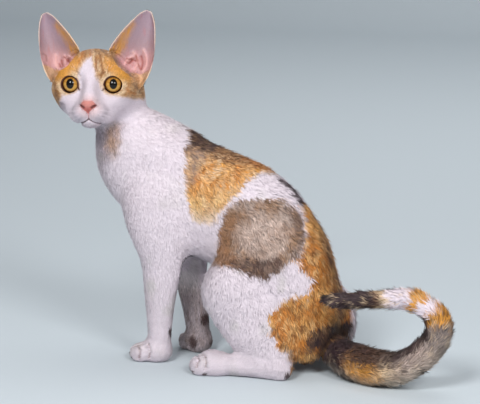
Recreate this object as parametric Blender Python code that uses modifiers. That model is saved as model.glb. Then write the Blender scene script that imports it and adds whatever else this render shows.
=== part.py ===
"""Life-size still model of a Devon Rex cat.

The cat crouches on its hind feet with its forelegs straight, its body along X and its head towards -X.
It looks over its left side, and its tail lies on the floor and curls up over itself.
Lengths are in millimetres until a helper turns them into metres. The solids reach the tips of the short coat.

Flesh is a table of rounded masses. A voxel remesh of their spheres gives a rough skin, which is then drawn
onto the masses' soft union, so that each mass runs into the next with the blend that the table states.
"""

import math
from collections import namedtuple

import bmesh
import bpy
import numpy as np
from mathutils import Matrix, Vector
from mathutils.bvhtree import BVHTree

Mass = namedtuple("Mass", "centres radii turns blend hollow")

MM = 0.001
GAP = 0.3

# Head: the point midway between the eyeballs, and how far the face turns from +X and tips up
HEAD_AT = (-143.0, -34.0, 282.0)
FACE_TURN = -75.5
FACE_LIFT = 5.0

# Eyes, in the head's own axes: x out of the nose, y to the cat's left, z up
EYE_RADIUS = 10.8
EYE_SPREAD = 20.5
EYE_DIVERGE = 8.0
LID_THICKNESS = 1.5
LID_HALF_WIDTH = 8.9
LID_HALF_HEIGHT = 8.5

# Ears: how much lower the tip hangs, and how much wider the outer edge stands at the root
LEFT_EAR = (0.0, 5.0)
RIGHT_EAR = (3.0, -2.0)
EAR_THICKNESS = 1.7

# Planes of the cuts through the neck: a point and the way to the side that is cut away from the lower piece
JAW_CUT = ((-28, 8, -30), (0.5, -0.2, 0.84))
NECK_CUT = ((-119, 0, 227), (-0.6, 0, 0.8))

# How far past the planes each skin runs before its trim
CUT_SPARE = 8.0

# Trunk stations: back (x, z), belly (x, z), half width
TRUNK = [
    ((-97, 244), (-143, 203), 24),
    ((-80, 247), (-140, 178), 30),
    ((-54, 236), (-126, 156), 33),
    ((-30, 223), (-100, 128), 35),
    ((0, 212), (-60, 111), 37),
    ((28, 201), (-30, 100), 38),
    ((54, 181), (-5, 80), 39),
    ((76, 150), (25, 54), 39),
    ((90, 114), (52, 34), 36),
    ((97, 80), (72, 26), 30),
]

# Tail: centre line and radius of the coat round it, from the root under the rump to the tip
TAIL = [
    (84, -2, 44, 13),
    (98, -10, 27, 14.5),
    (119, -25, 20, 18),
    (146, -39, 18, 18.5),
    (173, -47, 21, 16.5),
    (194, -50, 32, 15),
    (210, -52, 48, 14),
    (216, -53, 63, 13.5),
    (213, -54, 76, 12.5),
    (202, -55, 86, 11),
    (187, -57, 92, 10),
    (165, -59, 91, 8.8),
    (141, -62, 89, 8),
    (122, -66, 88, 7),
    (111, -69, 89, 4.5),
    (107.5, -70, 89, 1.2),
]
TAIL_NODES = ["tail_root", "tail_middle", "tail_curl", "tail_upper", "tail_tip"]
TAIL_CUTS = [0.0, 0.22, 0.44, 0.62, 0.82, 1.0]
TAIL_RINGS = 46
TAIL_SIDES = 14

# Triangles left on each soft skin before it is parted
BODY_TRIANGLES = 5500
HEAD_TRIANGLES = 3400

COATS = {
    "white_coat": ((0.82, 0.77, 0.80, 1), 0.75),
    "orange_coat": ((0.62, 0.34, 0.12, 1), 0.75),
    "brown_coat": ((0.20, 0.12, 0.09, 1), 0.75),
    "ear_skin": ((0.72, 0.47, 0.47, 1), 0.6),
    "amber_eye": ((0.62, 0.36, 0.06, 1), 0.1),
}


def clear_scene():
    """Empties the start-up scene, so that only the cat is left."""
    for obj in list(bpy.data.objects):
        bpy.data.objects.remove(obj)


def coat_material(name):
    """Principled material with the coat's colour and roughness."""
    colour, roughness = COATS[name]
    material = bpy.data.materials.get(name) or bpy.data.materials.new(name)
    material.use_nodes = True
    shader = material.node_tree.nodes["Principled BSDF"]
    shader.inputs["Base Color"].default_value = colour
    shader.inputs["Roughness"].default_value = roughness
    material.diffuse_color = colour
    return material


def make_object(name, mesh, collection):
    """Links a mesh as a named object to a collection. Cutters are drawn as wires."""
    obj = bpy.data.objects.new(name, mesh)
    collection.objects.link(obj)
    if collection.hide_render:
        obj.display_type = "WIRE"
    return obj


def object_from_bmesh(name, form, collection):
    """Turns a bmesh into an object with its faces pointing out."""
    bmesh.ops.recalc_face_normals(form, faces=form.faces)
    mesh = bpy.data.meshes.new(name)
    form.to_mesh(mesh)
    form.free()
    return make_object(name, mesh, collection)


def add_modifier(obj, kind, **settings):
    """Adds a modifier, sets it and applies it."""
    modifier = obj.modifiers.new(kind.title(), kind)
    for key, value in settings.items():
        setattr(modifier, key, value)
    graph = bpy.context.evaluated_depsgraph_get()
    graph.update()
    mesh = bpy.data.meshes.new_from_object(obj.evaluated_get(graph))
    obj.modifiers.clear()
    obj.data = mesh
    return obj


def boolean(obj, other, operation, solver="MANIFOLD"):
    """Applies one Boolean of another object to this one."""
    return add_modifier(obj, "BOOLEAN", object=other, operation=operation, solver=solver)


def copied(obj, name):
    """A copy of an object with its own mesh, in the same collection."""
    return make_object(name, obj.data.copy(), obj.users_collection[0])


def swollen(obj, by=GAP):
    """A copy of a form that stands out by the gap that neighbours keep."""
    copy = copied(obj, obj.name + "_swollen")
    return add_modifier(copy, "DISPLACE", strength=by * MM, mid_level=0.0)


def removed(*objects):
    """Deletes helper objects that have done their work."""
    for obj in objects:
        bpy.data.objects.remove(obj)


def axes(degrees):
    """Rotation matrix of a mass turned about X, then Y, then Z."""
    x, y, z = (math.radians(angle) for angle in degrees)
    return Matrix.Rotation(z, 4, "Z") @ Matrix.Rotation(y, 4, "Y") @ Matrix.Rotation(x, 4, "X")


def smooth_rows(rows, count):
    """Catmull-Rom curve through rows of numbers, read at an even count of steps along the rows."""
    rows = np.asarray(rows, float)
    padded = np.vstack([2 * rows[0] - rows[1], rows, 2 * rows[-1] - rows[-2]])
    at = np.linspace(0, len(rows) - 1, count)
    k = np.minimum(at.astype(int), len(rows) - 2)
    t = (at - k)[:, None]
    a, b, c, d = (padded[k + i] for i in range(4))
    return 0.5 * (
        2 * b + (c - a) * t + (2 * a - 5 * b + 4 * c - d) * t**2 + (3 * b - a - 3 * c + d) * t**3
    )


def blob(centre, radii, degrees=(0, 0, 0), blend=12.0, hollow=False):
    """One ellipsoid, with how widely it blends with the masses before it and whether it is pressed in."""
    turn = np.array(axes(degrees).to_3x3())
    return Mass(np.array([centre], float), np.array([radii], float), turn[None], blend, hollow)


def limb(path, wide, deep, blend=10.0, count=16):
    """A close chain of ellipsoids on a smooth path, with half widths along Y and half depths across it."""
    rows = smooth_rows(np.column_stack([path, wide, deep]), count)
    return Mass(rows[:, :3], rows[:, [4, 3, 4]], np.repeat(np.eye(3)[None], count, axis=0), blend, False)


def placed(masses, frame):
    """Masses given in a frame's own millimetres, moved to the body's."""
    turn = np.array(frame.to_3x3())
    move = np.array(frame.translation) / MM
    return [m._replace(centres=m.centres @ turn.T + move, turns=turn @ m.turns) for m in masses]


def mass_distance(points, mass):
    """Rough distance to a mass, negative inside: k0 (k0 - 1) / k1, with k0 = |p / r| and k1 = |p / r^2|."""
    nearest = np.full(len(points), np.inf)
    for centre, radii, turn in zip(mass.centres, mass.radii, mass.turns):
        local = (points - centre) @ turn
        k0 = np.linalg.norm(local / radii, axis=1)
        k1 = np.linalg.norm(local / radii**2, axis=1)
        nearest = np.minimum(nearest, k0 * (k0 - 1) / np.maximum(k1, 1e-6))
    return nearest


def soft_min(a, b, blend):
    """The lesser of two distances, rounded over where they differ by less than the blend."""
    share = np.clip(1 - np.abs(a - b) / blend, 0, 1)
    return np.minimum(a, b) - share**2 * blend / 4


def soft_distance(points, masses):
    """Distance to the soft union of masses, each joined to those before it with its own blend."""
    total = mass_distance(points, masses[0])
    for mass in masses[1:]:
        near = mass_distance(points, mass)
        total = -soft_min(-total, near, mass.blend) if mass.hollow else soft_min(total, near, mass.blend)
    return total


def unit_sphere(around=18):
    """Points and faces of a sphere of radius 1."""
    form = bmesh.new()
    bmesh.ops.create_uvsphere(form, u_segments=around, v_segments=around * 2 // 3, radius=1)
    points = np.array([tuple(v.co) for v in form.verts])
    faces = [[v.index for v in face.verts] for face in form.faces]
    form.free()
    return points, faces


def rough_skin(name, masses, voxel, collection):
    """A sphere for every mass that stands out, joined into one closed skin by a voxel remesh."""
    sphere, sphere_faces = unit_sphere()
    points, faces = [], []
    for mass in masses:
        if mass.hollow:
            continue
        for centre, radii, turn in zip(mass.centres, mass.radii, mass.turns):
            start = len(points) * len(sphere)
            points.append((sphere * radii) @ turn.T + centre)
            faces += [[start + i for i in face] for face in sphere_faces]
    mesh = bpy.data.meshes.new(name)
    mesh.from_pydata(np.vstack(points) * MM, [], faces)
    obj = make_object(name, mesh, collection)
    return add_modifier(obj, "REMESH", mode="VOXEL", voxel_size=voxel * MM)


def drawn_onto(obj, masses, longest_step=5.0):
    """Moves each point of a skin along its normal by its distance to the masses' soft union."""
    mesh = obj.data
    points = np.empty(3 * len(mesh.vertices))
    normals = np.empty(3 * len(mesh.vertices))
    mesh.vertices.foreach_get("co", points)
    mesh.vertex_normals.foreach_get("vector", normals)
    points, normals = points.reshape(-1, 3) / MM, normals.reshape(-1, 3)
    step = np.clip(soft_distance(points, masses), -longest_step, longest_step)
    points -= normals * step[:, None]
    mesh.vertices.foreach_set("co", (points * MM).ravel())
    mesh.update()


def soft_skin(name, masses, voxel, collection, seeds=None, rounds=6):
    """The soft union of masses as one closed skin, which may start from fewer masses than it is drawn onto.

    The second remesh undoes any fold that the rounds left in a narrow crease.
    """
    obj = rough_skin(name, seeds or masses, voxel, collection)
    add_modifier(obj, "SMOOTH", factor=0.5, iterations=6)
    for _ in range(rounds):
        drawn_onto(obj, masses)
        add_modifier(obj, "SMOOTH", factor=0.5, iterations=2)
    add_modifier(obj, "REMESH", mode="VOXEL", voxel_size=voxel * MM)
    drawn_onto(obj, masses, longest_step=0.4 * voxel)
    return obj


def thinned(obj, triangles):
    """Leaves about this many triangles, most of them where the form bends most."""
    count = sum(len(face.vertices) - 2 for face in obj.data.polygons)
    return add_modifier(obj, "DECIMATE", ratio=triangles / count)


def loft(form, rings, frame=None):
    """Adds the closed skin over a stack of rings, each an array of points in millimetres."""
    stack = [
        [form.verts.new(Vector(p) * MM if frame is None else frame @ (Vector(p) * MM)) for p in ring]
        for ring in rings
    ]
    count = len(stack[0])
    for low, high in zip(stack, stack[1:]):
        for i in range(count):
            j = (i + 1) % count
            form.faces.new((low[i], low[j], high[j], high[i]))
    form.faces.new(stack[0][::-1])
    form.faces.new(stack[-1])


def tube_rings(path, wide, deep, count, around, side=(0, 1, 0)):
    """Elliptical rings across a smooth path: half widths along the side direction, half depths across it."""
    rows = smooth_rows(np.column_stack([path, wide, deep]), count)
    centre, wide, deep = rows[:, :3], rows[:, 3:4], rows[:, 4:5]
    along = np.gradient(centre, axis=0)
    along /= np.linalg.norm(along, axis=1, keepdims=True)
    across = np.asarray(side, float) - along * (along @ np.asarray(side, float))[:, None]
    across /= np.linalg.norm(across, axis=1, keepdims=True)
    up = np.cross(along, across)
    angle = np.linspace(0, 2 * math.pi, around, endpoint=False)[None, :, None]
    return (
        centre[:, None]
        + (wide * across)[:, None] * np.cos(angle)
        + (deep * up)[:, None] * np.sin(angle)
    )


def tube(name, path, wide, deep, collection, count=14, around=24, side=(0, 1, 0), frame=None):
    """A closed tube with elliptical sections as an object."""
    form = bmesh.new()
    loft(form, tube_rings(path, wide, deep, count, around, side), frame)
    return object_from_bmesh(name, form, collection)


def largest_shell(obj):
    """Keeps only a node's largest closed surface. Surfaces that only touch along an edge count as apart."""
    form = bmesh.new()
    form.from_mesh(obj.data)
    bmesh.ops.triangulate(form, faces=form.faces)
    left, shells = set(form.faces), []
    while left:
        start = left.pop()
        shell, front = [start], [start]
        while front:
            for edge in front.pop().edges:
                if len(edge.link_faces) > 2:
                    continue
                for face in edge.link_faces:
                    if face in left:
                        left.discard(face)
                        shell.append(face)
                        front.append(face)
        shells.append(shell)
    shells.sort(key=lambda shell: -sum(face.calc_area() for face in shell))
    loose = [face for shell in shells[1:] for face in shell]
    bmesh.ops.delete(form, geom=loose, context="FACES")
    form.to_mesh(obj.data)
    form.free()
    return obj


def trimmed(obj, point, normal, frame=None):
    """Cuts a closed form by a plane, drops what lies beyond it on the normal's side, and closes the cut."""
    point, normal = Vector(point) * MM, Vector(normal).normalized()
    if frame is not None:
        point, normal = frame @ point, frame.to_3x3() @ normal
    form = bmesh.new()
    form.from_mesh(obj.data)
    cut = bmesh.ops.bisect_plane(
        form,
        geom=[*form.verts, *form.edges, *form.faces],
        dist=1e-7,
        plane_co=point,
        plane_no=normal,
        clear_outer=True,
    )
    edges = [item for item in cut["geom_cut"] if isinstance(item, bmesh.types.BMEdge)]
    bmesh.ops.holes_fill(form, edges=edges)
    bmesh.ops.triangulate(form, faces=[face for face in form.faces if len(face.verts) > 3])
    form.to_mesh(obj.data)
    form.free()
    return obj


def head_frame():
    """Placement of the head's own axes in the body's."""
    return (
        Matrix.Translation(Vector(HEAD_AT) * MM)
        @ Matrix.Rotation(math.radians(FACE_TURN), 4, "Z")
        @ Matrix.Rotation(math.radians(-FACE_LIFT), 4, "Y")
    )


def trunk_mass(count=96):
    """The trunk as a chain of ellipsoids set between the back line and the belly line."""
    rows = smooth_rows([(*back, *belly, half) for back, belly, half in TRUNK], count)
    middle = (rows[:, 0:2] + rows[:, 2:4]) / 2
    reach = (rows[:, 0:2] - rows[:, 2:4]) / 2
    deep = np.linalg.norm(reach, axis=1)
    up = reach / deep[:, None]
    zero = np.zeros(count)
    turns = np.stack(
        [
            np.column_stack([up[:, 1], zero, -up[:, 0]]),
            np.column_stack([zero, zero + 1, zero]),
            np.column_stack([up[:, 0], zero, up[:, 1]]),
        ],
        axis=2,
    )
    centres = np.column_stack([middle[:, 0], zero, middle[:, 1]])
    radii = np.column_stack([8 + 0.36 * deep, rows[:, 4], deep])
    return Mass(centres, radii, turns, 0, False)


def trunk_masses():
    """Trunk, chest and neck."""
    return [
        trunk_mass(),
        blob((-118, 0, 190), (23, 22, 33), (0, -20, 0), 14),
        limb(
            [(-112, 0, 214), (-125, 0, 238), (-137, -4, 260), (-148, -10, 284)],
            wide=[30, 25, 23, 23],
            deep=[38, 29, 25, 23],
            blend=16,
            count=12,
        ),
    ]


def limb_roots():
    """Shoulders and haunches. The right haunch sits a little further forward than the left."""
    masses = []
    for side, back in ((-1, 0), (1, -8)):
        masses += [
            blob((-74, side * 20, 190), (30, 12, 42), (0, 18, 0), 14),
            blob((-86, side * 24, 152), (27, 15, 38), (0, -12, 0), 16),
            blob((38 + back, side * 28, 98), (57, 23, 42), (0, -28, side * -5), 16),
            blob((70 + back, side * 26, 59), (31, 22, 47), (0, -6, 0), 16),
            blob((3, side * 41, 90), (22, 15, 28), (0, 12, 0), 16),
        ]
    masses.append(blob((87, 22, 48), (28, 17, 34), (0, -10, 0), 14))
    return masses


def paw_masses(base, radii, turn, reach, toe):
    """A paw: the padded foot and four toes side by side at its front, the middle pair furthest out."""
    frame = Matrix.Translation(Vector(base) * MM) @ axes((0, 0, turn))
    masses = [blob((0, 0, 0), radii, blend=9)]
    for lane, back in ((-1.5, 3.4), (-0.5, 0.0), (0.5, 0.0), (1.5, 3.4)):
        centre = (reach - back, lane * toe * 1.16, -0.1 * radii[2])
        masses.append(blob(centre, (toe * 1.8, toe, radii[2] * 0.78), (0, 8, -6 * lane), 2.2))
    return placed(masses, frame)


def foreleg_masses():
    """Both forelegs: the left one forward, the right one a step back with its paw turned out."""
    left = limb(
        [
            (-79, -25, 160),
            (-75.5, -26, 124),
            (-75, -25, 95),
            (-77, -24, 66),
            (-78, -23, 40),
            (-78.5, -23, 14),
        ],
        wide=[15, 14.5, 13, 11.5, 10.5, 11],
        deep=[26, 24, 20.5, 16.5, 13.5, 12],
        blend=18,
        count=32,
    )
    right = limb(
        [
            (-74, 25, 160),
            (-68, 26, 124),
            (-63, 25, 95),
            (-59.5, 25, 66),
            (-56, 26, 40),
            (-53.5, 27, 14),
        ],
        wide=[15, 14.5, 13, 11.5, 11, 11.5],
        deep=[26, 22, 19, 16, 13.5, 12.5],
        blend=18,
        count=32,
    )
    return [
        left,
        *paw_masses((-86, -22.5, 9.5), (19, 13.5, 11.5), 180, 14, 5.6),
        right,
        *paw_masses((-56.5, 29, 9.5), (18, 13.5, 11.5), 137, 13, 5.6),
    ]


def hindleg_masses():
    """Shins and long feet, flat on the floor from heel to toes, the right foot further back than the left."""
    masses = []
    for side, back in ((-1, 0), (1, 19)):
        masses += [
            limb(
                [
                    (6, side * 44, 78),
                    (22 + back / 2, side * 47, 54),
                    (42 + back, side * 49, 31),
                    (57 + back, side * 51, 15),
                ],
                wide=[15, 13, 11, 9],
                deep=[29, 28, 22, 12],
                blend=16,
                count=26,
            ),
            limb(
                [
                    (59 + back, side * 51, 10),
                    (42 + back, side * 51, 10.5),
                    (12 + back, side * 51, 11),
                    (-13 + back, side * 51.5, 11),
                ],
                wide=[9, 9.5, 10.5, 12.5],
                deep=[9.5, 10.5, 11, 11.5],
                blend=9,
                count=34,
            ),
            *paw_masses((-13 + back, side * 51.5, 10), (16, 13.5, 12.5), 180 + side * 3, 12, 5.9),
        ]
    return masses


def head_masses():
    """Skull, brow, cheeks, jaw, muzzle, nose and lids in the head's own axes, then moved to the body's.

    The head turns to the cat's left, so loose skin gathers there behind the ear and down the nape.
    """
    masses = [
        blob((-25, 0, 8), (32, 34, 26.5), blend=12),
        blob((-22, 0, -14), (26, 27, 21), blend=14),
        blob((-4, 0, 14), (15, 26, 15), blend=12),
        blob((7, 0, -8), (16, 9.5, 13.5), (0, 34, 0), 12),
        blob((10.5, 0, -24), (16, 13.5, 11), blend=10),
        blob((11.5, 0, -35.2), (10, 8, 6), blend=7),
    ]
    for side in (-1, 1):
        masses += [
            blob((-13, side * 24.5, -5), (23, 18, 17), (0, 0, side * 14), 10),
            blob((-12, side * 18.5, -19), (22, 16, 13.5), blend=10),
            blob((-4, side * 11.5, -30.5), (19, 9.5, 7.5), (0, 8, side * 10), 9),
            blob((17, side * 21, 0), (10, 12, 11), blend=9, hollow=True),
            blob((0, side * 19, 12), (9.5, 13, 6), (side * -12, 0, 0), 9),
            blob((15.5, side * 7.6, -26.3), (9.8, 8.6, 7.4), (0, 0, side * 12), 5),
            blob((0, side * EYE_SPREAD, 0), (EYE_RADIUS + GAP + 0.8 * LID_THICKNESS,) * 3, blend=4),
        ]
    masses += [
        blob((-31, 36, -8), (13, 12, 16), blend=10),
        blob((22.8, 0, -18.6), (6.3, 7.8, 6), blend=3.5),
        blob((27.5, 0, -28.5), (3.4, 1.1, 5), blend=2.5, hollow=True),
    ]
    scruff = blob((-120, -5, 260), (16.5, 17, 23), blend=11)
    return [*placed(masses, head_frame()), scruff]


def body_form(collection):
    """The whole body up to the jaw, drawn onto its masses, thinned, and set flat on the floor."""
    masses = [*trunk_masses(), *limb_roots(), *foreleg_masses(), *hindleg_masses(), *head_masses()]
    body = soft_skin("body", masses, 2.2, collection)
    point, axis = JAW_CUT
    trimmed(body, Vector(point) + CUT_SPARE * Vector(axis), axis, head_frame())
    thinned(body, BODY_TRIANGLES)
    return trimmed(body, (0, 0, 0), (0, 0, -1))


def eye_frame(side):
    """Placement of one eyeball: its x axis runs out through the pupil."""
    return (
        head_frame()
        @ Matrix.Translation(Vector((0, side * EYE_SPREAD, 0)) * MM)
        @ Matrix.Rotation(math.radians(side * EYE_DIVERGE), 4, "Z")
        @ Matrix.Rotation(math.radians(-2), 4, "Y")
    )


def ball(name, radius, frame, collection, around=20):
    """A ball about a frame's origin, its poles on the frame's x axis."""
    form = bmesh.new()
    place = frame @ axes((0, 90, 0)) @ Matrix.Scale(radius * MM, 4)
    rings = around * 2 // 3
    bmesh.ops.create_uvsphere(form, u_segments=around, v_segments=rings, radius=1, matrix=place)
    return object_from_bmesh(name, form, collection)


def face_point(tree, frame, side, up, start=60.0):
    """Point of the face that a ray meets, straight back along the head's x axis, in its millimetres."""
    origin = frame @ (Vector((start, side, up)) * MM)
    hit = tree.ray_cast(origin, frame.to_3x3() @ Vector((-1, 0, 0)))[0]
    return tuple((frame.inverted() @ hit) / MM)


def open_eyes(head, cutters):
    """Hollows the sockets and opens the lids in front of the eyeballs."""
    for side in (-1, 1):
        place = eye_frame(side)
        socket = ball("socket", EYE_RADIUS + GAP, place, cutters)
        stretch = (0.97, 1.05, 1.5)
        opening = tube(
            "opening",
            [(6, 0, 0), (14, 0, 0), (24, 0, 0)],
            wide=[LID_HALF_WIDTH * k for k in stretch],
            deep=[LID_HALF_HEIGHT * k for k in stretch],
            collection=cutters,
            count=5,
            frame=place,
        )
        lids = ball("lids", EYE_RADIUS + GAP + LID_THICKNESS, place, cutters, 24)
        boolean(head, lids, "UNION")
        boolean(head, socket, "DIFFERENCE")
        boolean(head, opening, "DIFFERENCE")
        removed(lids, socket, opening)


def cut_mouth_and_nostrils(head, frame, cutters):
    """Cuts the line of the mouth, the parting under the nose and the nostrils into the muzzle."""
    tree = BVHTree.FromObject(head, bpy.context.evaluated_depsgraph_get())
    half = [(4.5, -36.2), (10.0, -37.0), (14.5, -34.0)]
    lips = [(-s, u) for s, u in half[::-1]] + [(0.0, -33.4)] + half
    parting = [(0, -33.6), (0, -30.5), (0, -26.5)]
    path = [face_point(tree, frame, s, u) for s, u in lips]
    mouth = tube("mouth_line", path, [0.7] * 7, [1.5] * 7, cutters, 25, 6, (0, 0, 1), frame)
    path = [face_point(tree, frame, s, u) for s, u in parting]
    tools = [mouth, tube("parting", path, [0.5] * 3, [0.9] * 3, cutters, 5, 6, (0, 1, 0), frame)]
    for side in (-1, 1):
        form = bmesh.new()
        at = face_point(tree, frame, side * 4.2, -19.6)
        place = frame @ Matrix.Translation(Vector(at) * MM) @ axes((side * 35, 0, side * 30))
        place = place @ Matrix.Diagonal((3.2 * MM, 2.2 * MM, 1.3 * MM, 1))
        bmesh.ops.create_uvsphere(form, u_segments=12, v_segments=8, radius=1, matrix=place)
        tools.append(object_from_bmesh("nostril", form, cutters))
    for tool in tools:
        boolean(head, tool, "DIFFERENCE")
    removed(*tools)


def head_form(collection, cutters):
    """The head above the cut behind the jaw, with open lids, nostrils and mouth line."""
    frame = head_frame()
    masses = [*trunk_masses(), *head_masses()]
    head = soft_skin("head", masses, 1.3, collection, masses[2:])
    point, axis = Vector(JAW_CUT[0]), Vector(JAW_CUT[1]).normalized()
    trimmed(head, point - CUT_SPARE * axis, -axis, frame)
    thinned(head, HEAD_TRIANGLES)
    trimmed(head, point + axis * GAP / 2, -axis, frame)
    largest_shell(head)
    return head


def ear_rings(side, droop, flare, rows=13, columns=10):
    """Grid of an ear's sheet in the head's axes.

    Each row runs from the inner edge to the outer edge and bows back by the cup's depth. Rows rise to the
    tip, which hangs lower by the droop. The flare moves the outer edge of the root outwards.
    """
    inner = [(-10, 10, 21), (-11, 15.5, 36), (-15, 25, 50), (-20, 34.5, 61), (-25, 43.5, 70), (-29, 50.5, 74)]
    outer = [(-12, 37, -12), (-15, 50, 8), (-18, 55.5, 25), (-21, 58, 43), (-25, 58, 60), (-29, 55.5, 71.5)]
    depth = [24, 25, 19, 13, 7, 1.6]
    edges = smooth_rows(np.column_stack([inner, outer, depth]), rows)
    share = np.linspace(0, 1, columns)[None, :, None]
    grid = edges[:, None, 0:3] * (1 - share) + edges[:, None, 3:6] * share
    grid = grid + np.array([-0.93, 0.32, 0.16]) * edges[:, None, 6:7] * np.sin(math.pi * share) ** 0.8
    rise = np.linspace(0, 1, rows)[:, None]
    grid[:, :, 1] += flare * (1 - rise) * share[:, :, 0]
    grid[:, :, 1] *= side
    grid[:, :, 2] -= droop * rise
    return grid


def ear(name, side, settings, collection, head):
    """One ear: a cupped sheet with thickness, its root trimmed to the skull."""
    frame = head_frame()
    form = bmesh.new()
    points = [[form.verts.new(frame @ (Vector(p) * MM)) for p in row] for row in ear_rings(side, *settings)]
    for low, high in zip(points, points[1:]):
        for i in range(len(low) - 1):
            form.faces.new((low[i], low[i + 1], high[i + 1], high[i]))
    obj = object_from_bmesh(name, form, collection)
    add_modifier(obj, "SOLIDIFY", thickness=EAR_THICKNESS * MM, offset=0.0)
    skull = swollen(head)
    boolean(obj, skull, "DIFFERENCE")
    removed(skull)
    return largest_shell(obj)


def tail(collection, body):
    """The tail in lengths, each a tube with a flat end against the next, the first trimmed to the rump."""
    rows = np.array(TAIL, float)
    rings = tube_rings(rows[:, :3], rows[:, 3], rows[:, 3], TAIL_RINGS, TAIL_SIDES, (0.3, 1, 0.2))
    last = len(rings) - 1
    pieces = []
    for name, start, stop in zip(TAIL_NODES, TAIL_CUTS, TAIL_CUTS[1:]):
        low, high = round(start * last), round(stop * last)
        chosen = rings[low : high + 1].copy()
        if low:
            step = chosen[1].mean(axis=0) - chosen[0].mean(axis=0)
            chosen[0] += GAP * step / np.linalg.norm(step)
        form = bmesh.new()
        loft(form, chosen)
        piece = object_from_bmesh(name, form, collection)
        trimmed(piece, (0, 0, 0), (0, 0, -1))
        pieces.append(piece)
    rump = swollen(body, 1.5 * GAP)
    boolean(pieces[0], rump, "DIFFERENCE")
    removed(rump)
    largest_shell(pieces[0])
    return pieces


def region(name, points, low, high, collection, smooth=True):
    """A cutter: an outline in the side view (x, z), smoothed where asked, run in Y from low to high."""
    ring = np.asarray(points, float)
    if smooth:
        ring = smooth_rows(points + points[:1], 6 * len(points))[:-1]
    form = bmesh.new()
    loft(form, [np.column_stack([ring[:, 0], np.full(len(ring), y), ring[:, 1]]) for y in (low, high)])
    return object_from_bmesh(name, form, collection)


def taken(body, space, name):
    """Parts a piece from the body. The piece is what lies in the space, and the body loses it and a gap."""
    piece = copied(body, name)
    boolean(piece, space, "INTERSECT")
    wider = swollen(space, 1.6 * GAP)
    boolean(body, wider, "DIFFERENCE")
    removed(space, wider)
    largest_shell(piece)
    largest_shell(body)
    return piece


def limb_regions(side, cutters):
    """Spaces of one side's limbs, in the order of cutting: paw, foreleg with shoulder, hind foot, haunch."""
    word = "left" if side < 0 else "right"
    step, knee, behind = (0, 0, -54) if side < 0 else (19, -4, -35)
    wrist = [(-125, -5), (-125, 24), (behind, 24), (behind, -5)]
    fore = [
        (-112, 12), (-108, 60), (-122, 120), (-122, 165), (-104, 205), (-78, 222),
        (-54, 205), (-44, 160), (-40, 118), (behind + 8, 60), (behind, 12),
    ]
    sole = [(-48, -6), (-48, 30), (8, 26), (62, 17), (76, 14), (76, -6)]
    foot = [(x + step, z) for x, z in sole]
    haunch = [
        (-36 + knee, 90), (-26 + knee, 124), (10 + knee, 150), (52 + knee, 156), (86 + knee, 132),
        (106, 92), (122, 40), (112, -14), (20, -22), (-26, 20),
    ]

    def across(inner):
        return sorted((side * inner, side * 95))

    return [
        (f"forepaw_{word}", region("wrist", wrist, *across(2), cutters, False)),
        (f"foreleg_{word}", region("fore", fore, *across(11), cutters)),
        (f"hindfoot_{word}", region("foot", foot, *across(28), cutters, False)),
        (f"thigh_{word}", region("haunch", haunch, *across(17), cutters)),
    ]


def part_body(body, cutters):
    """Divides the body into neck, torso, legs and feet with thin cuts."""
    pieces = []
    for side in (-1, 1):
        for name, space in limb_regions(side, cutters):
            pieces.append(taken(body, space, name))
    neck = copied(body, "neck")
    point, axis = Vector(NECK_CUT[0]), Vector(NECK_CUT[1]).normalized()
    trimmed(neck, point + axis * GAP / 2, -axis)
    trimmed(body, point - axis * GAP / 2, axis)
    point, axis = Vector(JAW_CUT[0]), Vector(JAW_CUT[1]).normalized()
    trimmed(neck, point - axis * GAP / 2, axis, head_frame())
    body.name = "torso"
    largest_shell(neck)
    largest_shell(body)
    return neck, pieces


def centre_on_floor(objects):
    """Moves every mesh so that the origin is the centre of the cat's footprint on the floor."""
    corners = np.array([tuple(v.co) for obj in objects for v in obj.data.vertices])
    low, high = corners.min(axis=0), corners.max(axis=0)
    shift = Vector((-(low[0] + high[0]) / 2, -(low[1] + high[1]) / 2, -low[2]))
    for obj in objects:
        obj.data.transform(Matrix.Translation(shift))
    print("origin shift, mm:", [round(v / MM, 2) for v in shift])


def finish(obj, material):
    """Gives a node its material and smooth shading with sharp cut edges."""
    obj.data.materials.clear()
    obj.data.materials.append(coat_material(material))
    obj.data.shade_smooth()
    obj.data.set_sharp_from_angle(angle=math.radians(40))


def build():
    """Builds every node of the cat."""
    clear_scene()
    cat = bpy.data.collections.new("devon_rex_cat")
    cutters = bpy.data.collections.new("cutters")
    for collection in (cat, cutters):
        bpy.context.scene.collection.children.link(collection)
    cutters.hide_render = True
    body = body_form(cat)
    tail_pieces = tail(cat, body)
    neck, limbs = part_body(body, cutters)
    head = head_form(cat, cutters)
    ears = [ear("ear_left", 1, LEFT_EAR, cat, head), ear("ear_right", -1, RIGHT_EAR, cat, head)]
    open_eyes(head, cutters)
    cut_mouth_and_nostrils(head, head_frame(), cutters)
    largest_shell(head)
    eyes = [
        ball("eye_left", EYE_RADIUS, eye_frame(1), cat, 16),
        ball("eye_right", EYE_RADIUS, eye_frame(-1), cat, 16),
    ]
    finish(head, "orange_coat")
    for obj in ears:
        finish(obj, "ear_skin")
    for obj in eyes:
        finish(obj, "amber_eye")
    for obj in (neck, body, *limbs):
        finish(obj, "white_coat")
    for obj in tail_pieces:
        finish(obj, "brown_coat")
    centre_on_floor([head, neck, body, *ears, *eyes, *limbs, *tail_pieces])


build()
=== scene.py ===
# %% [markdown]
# # A sitting Devon Rex cat, life size
#
# This lesson dresses a plain solid model of a cat. The solids already have the true outline, out to the
# tips of the coat. Here they get one seamless skin, real eyes, a nose and ears with folds, and a short
# wavy coat made of small solid tufts.
#
# Everything is worked out in the cat's own millimetres. The head looks along its own three axes, so that
# a place on the face is easy to name: forward out of the nose, to the cat's left, and up.

import math

import bmesh
import bpy
import numpy as np
from mathutils import Matrix, Vector


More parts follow.
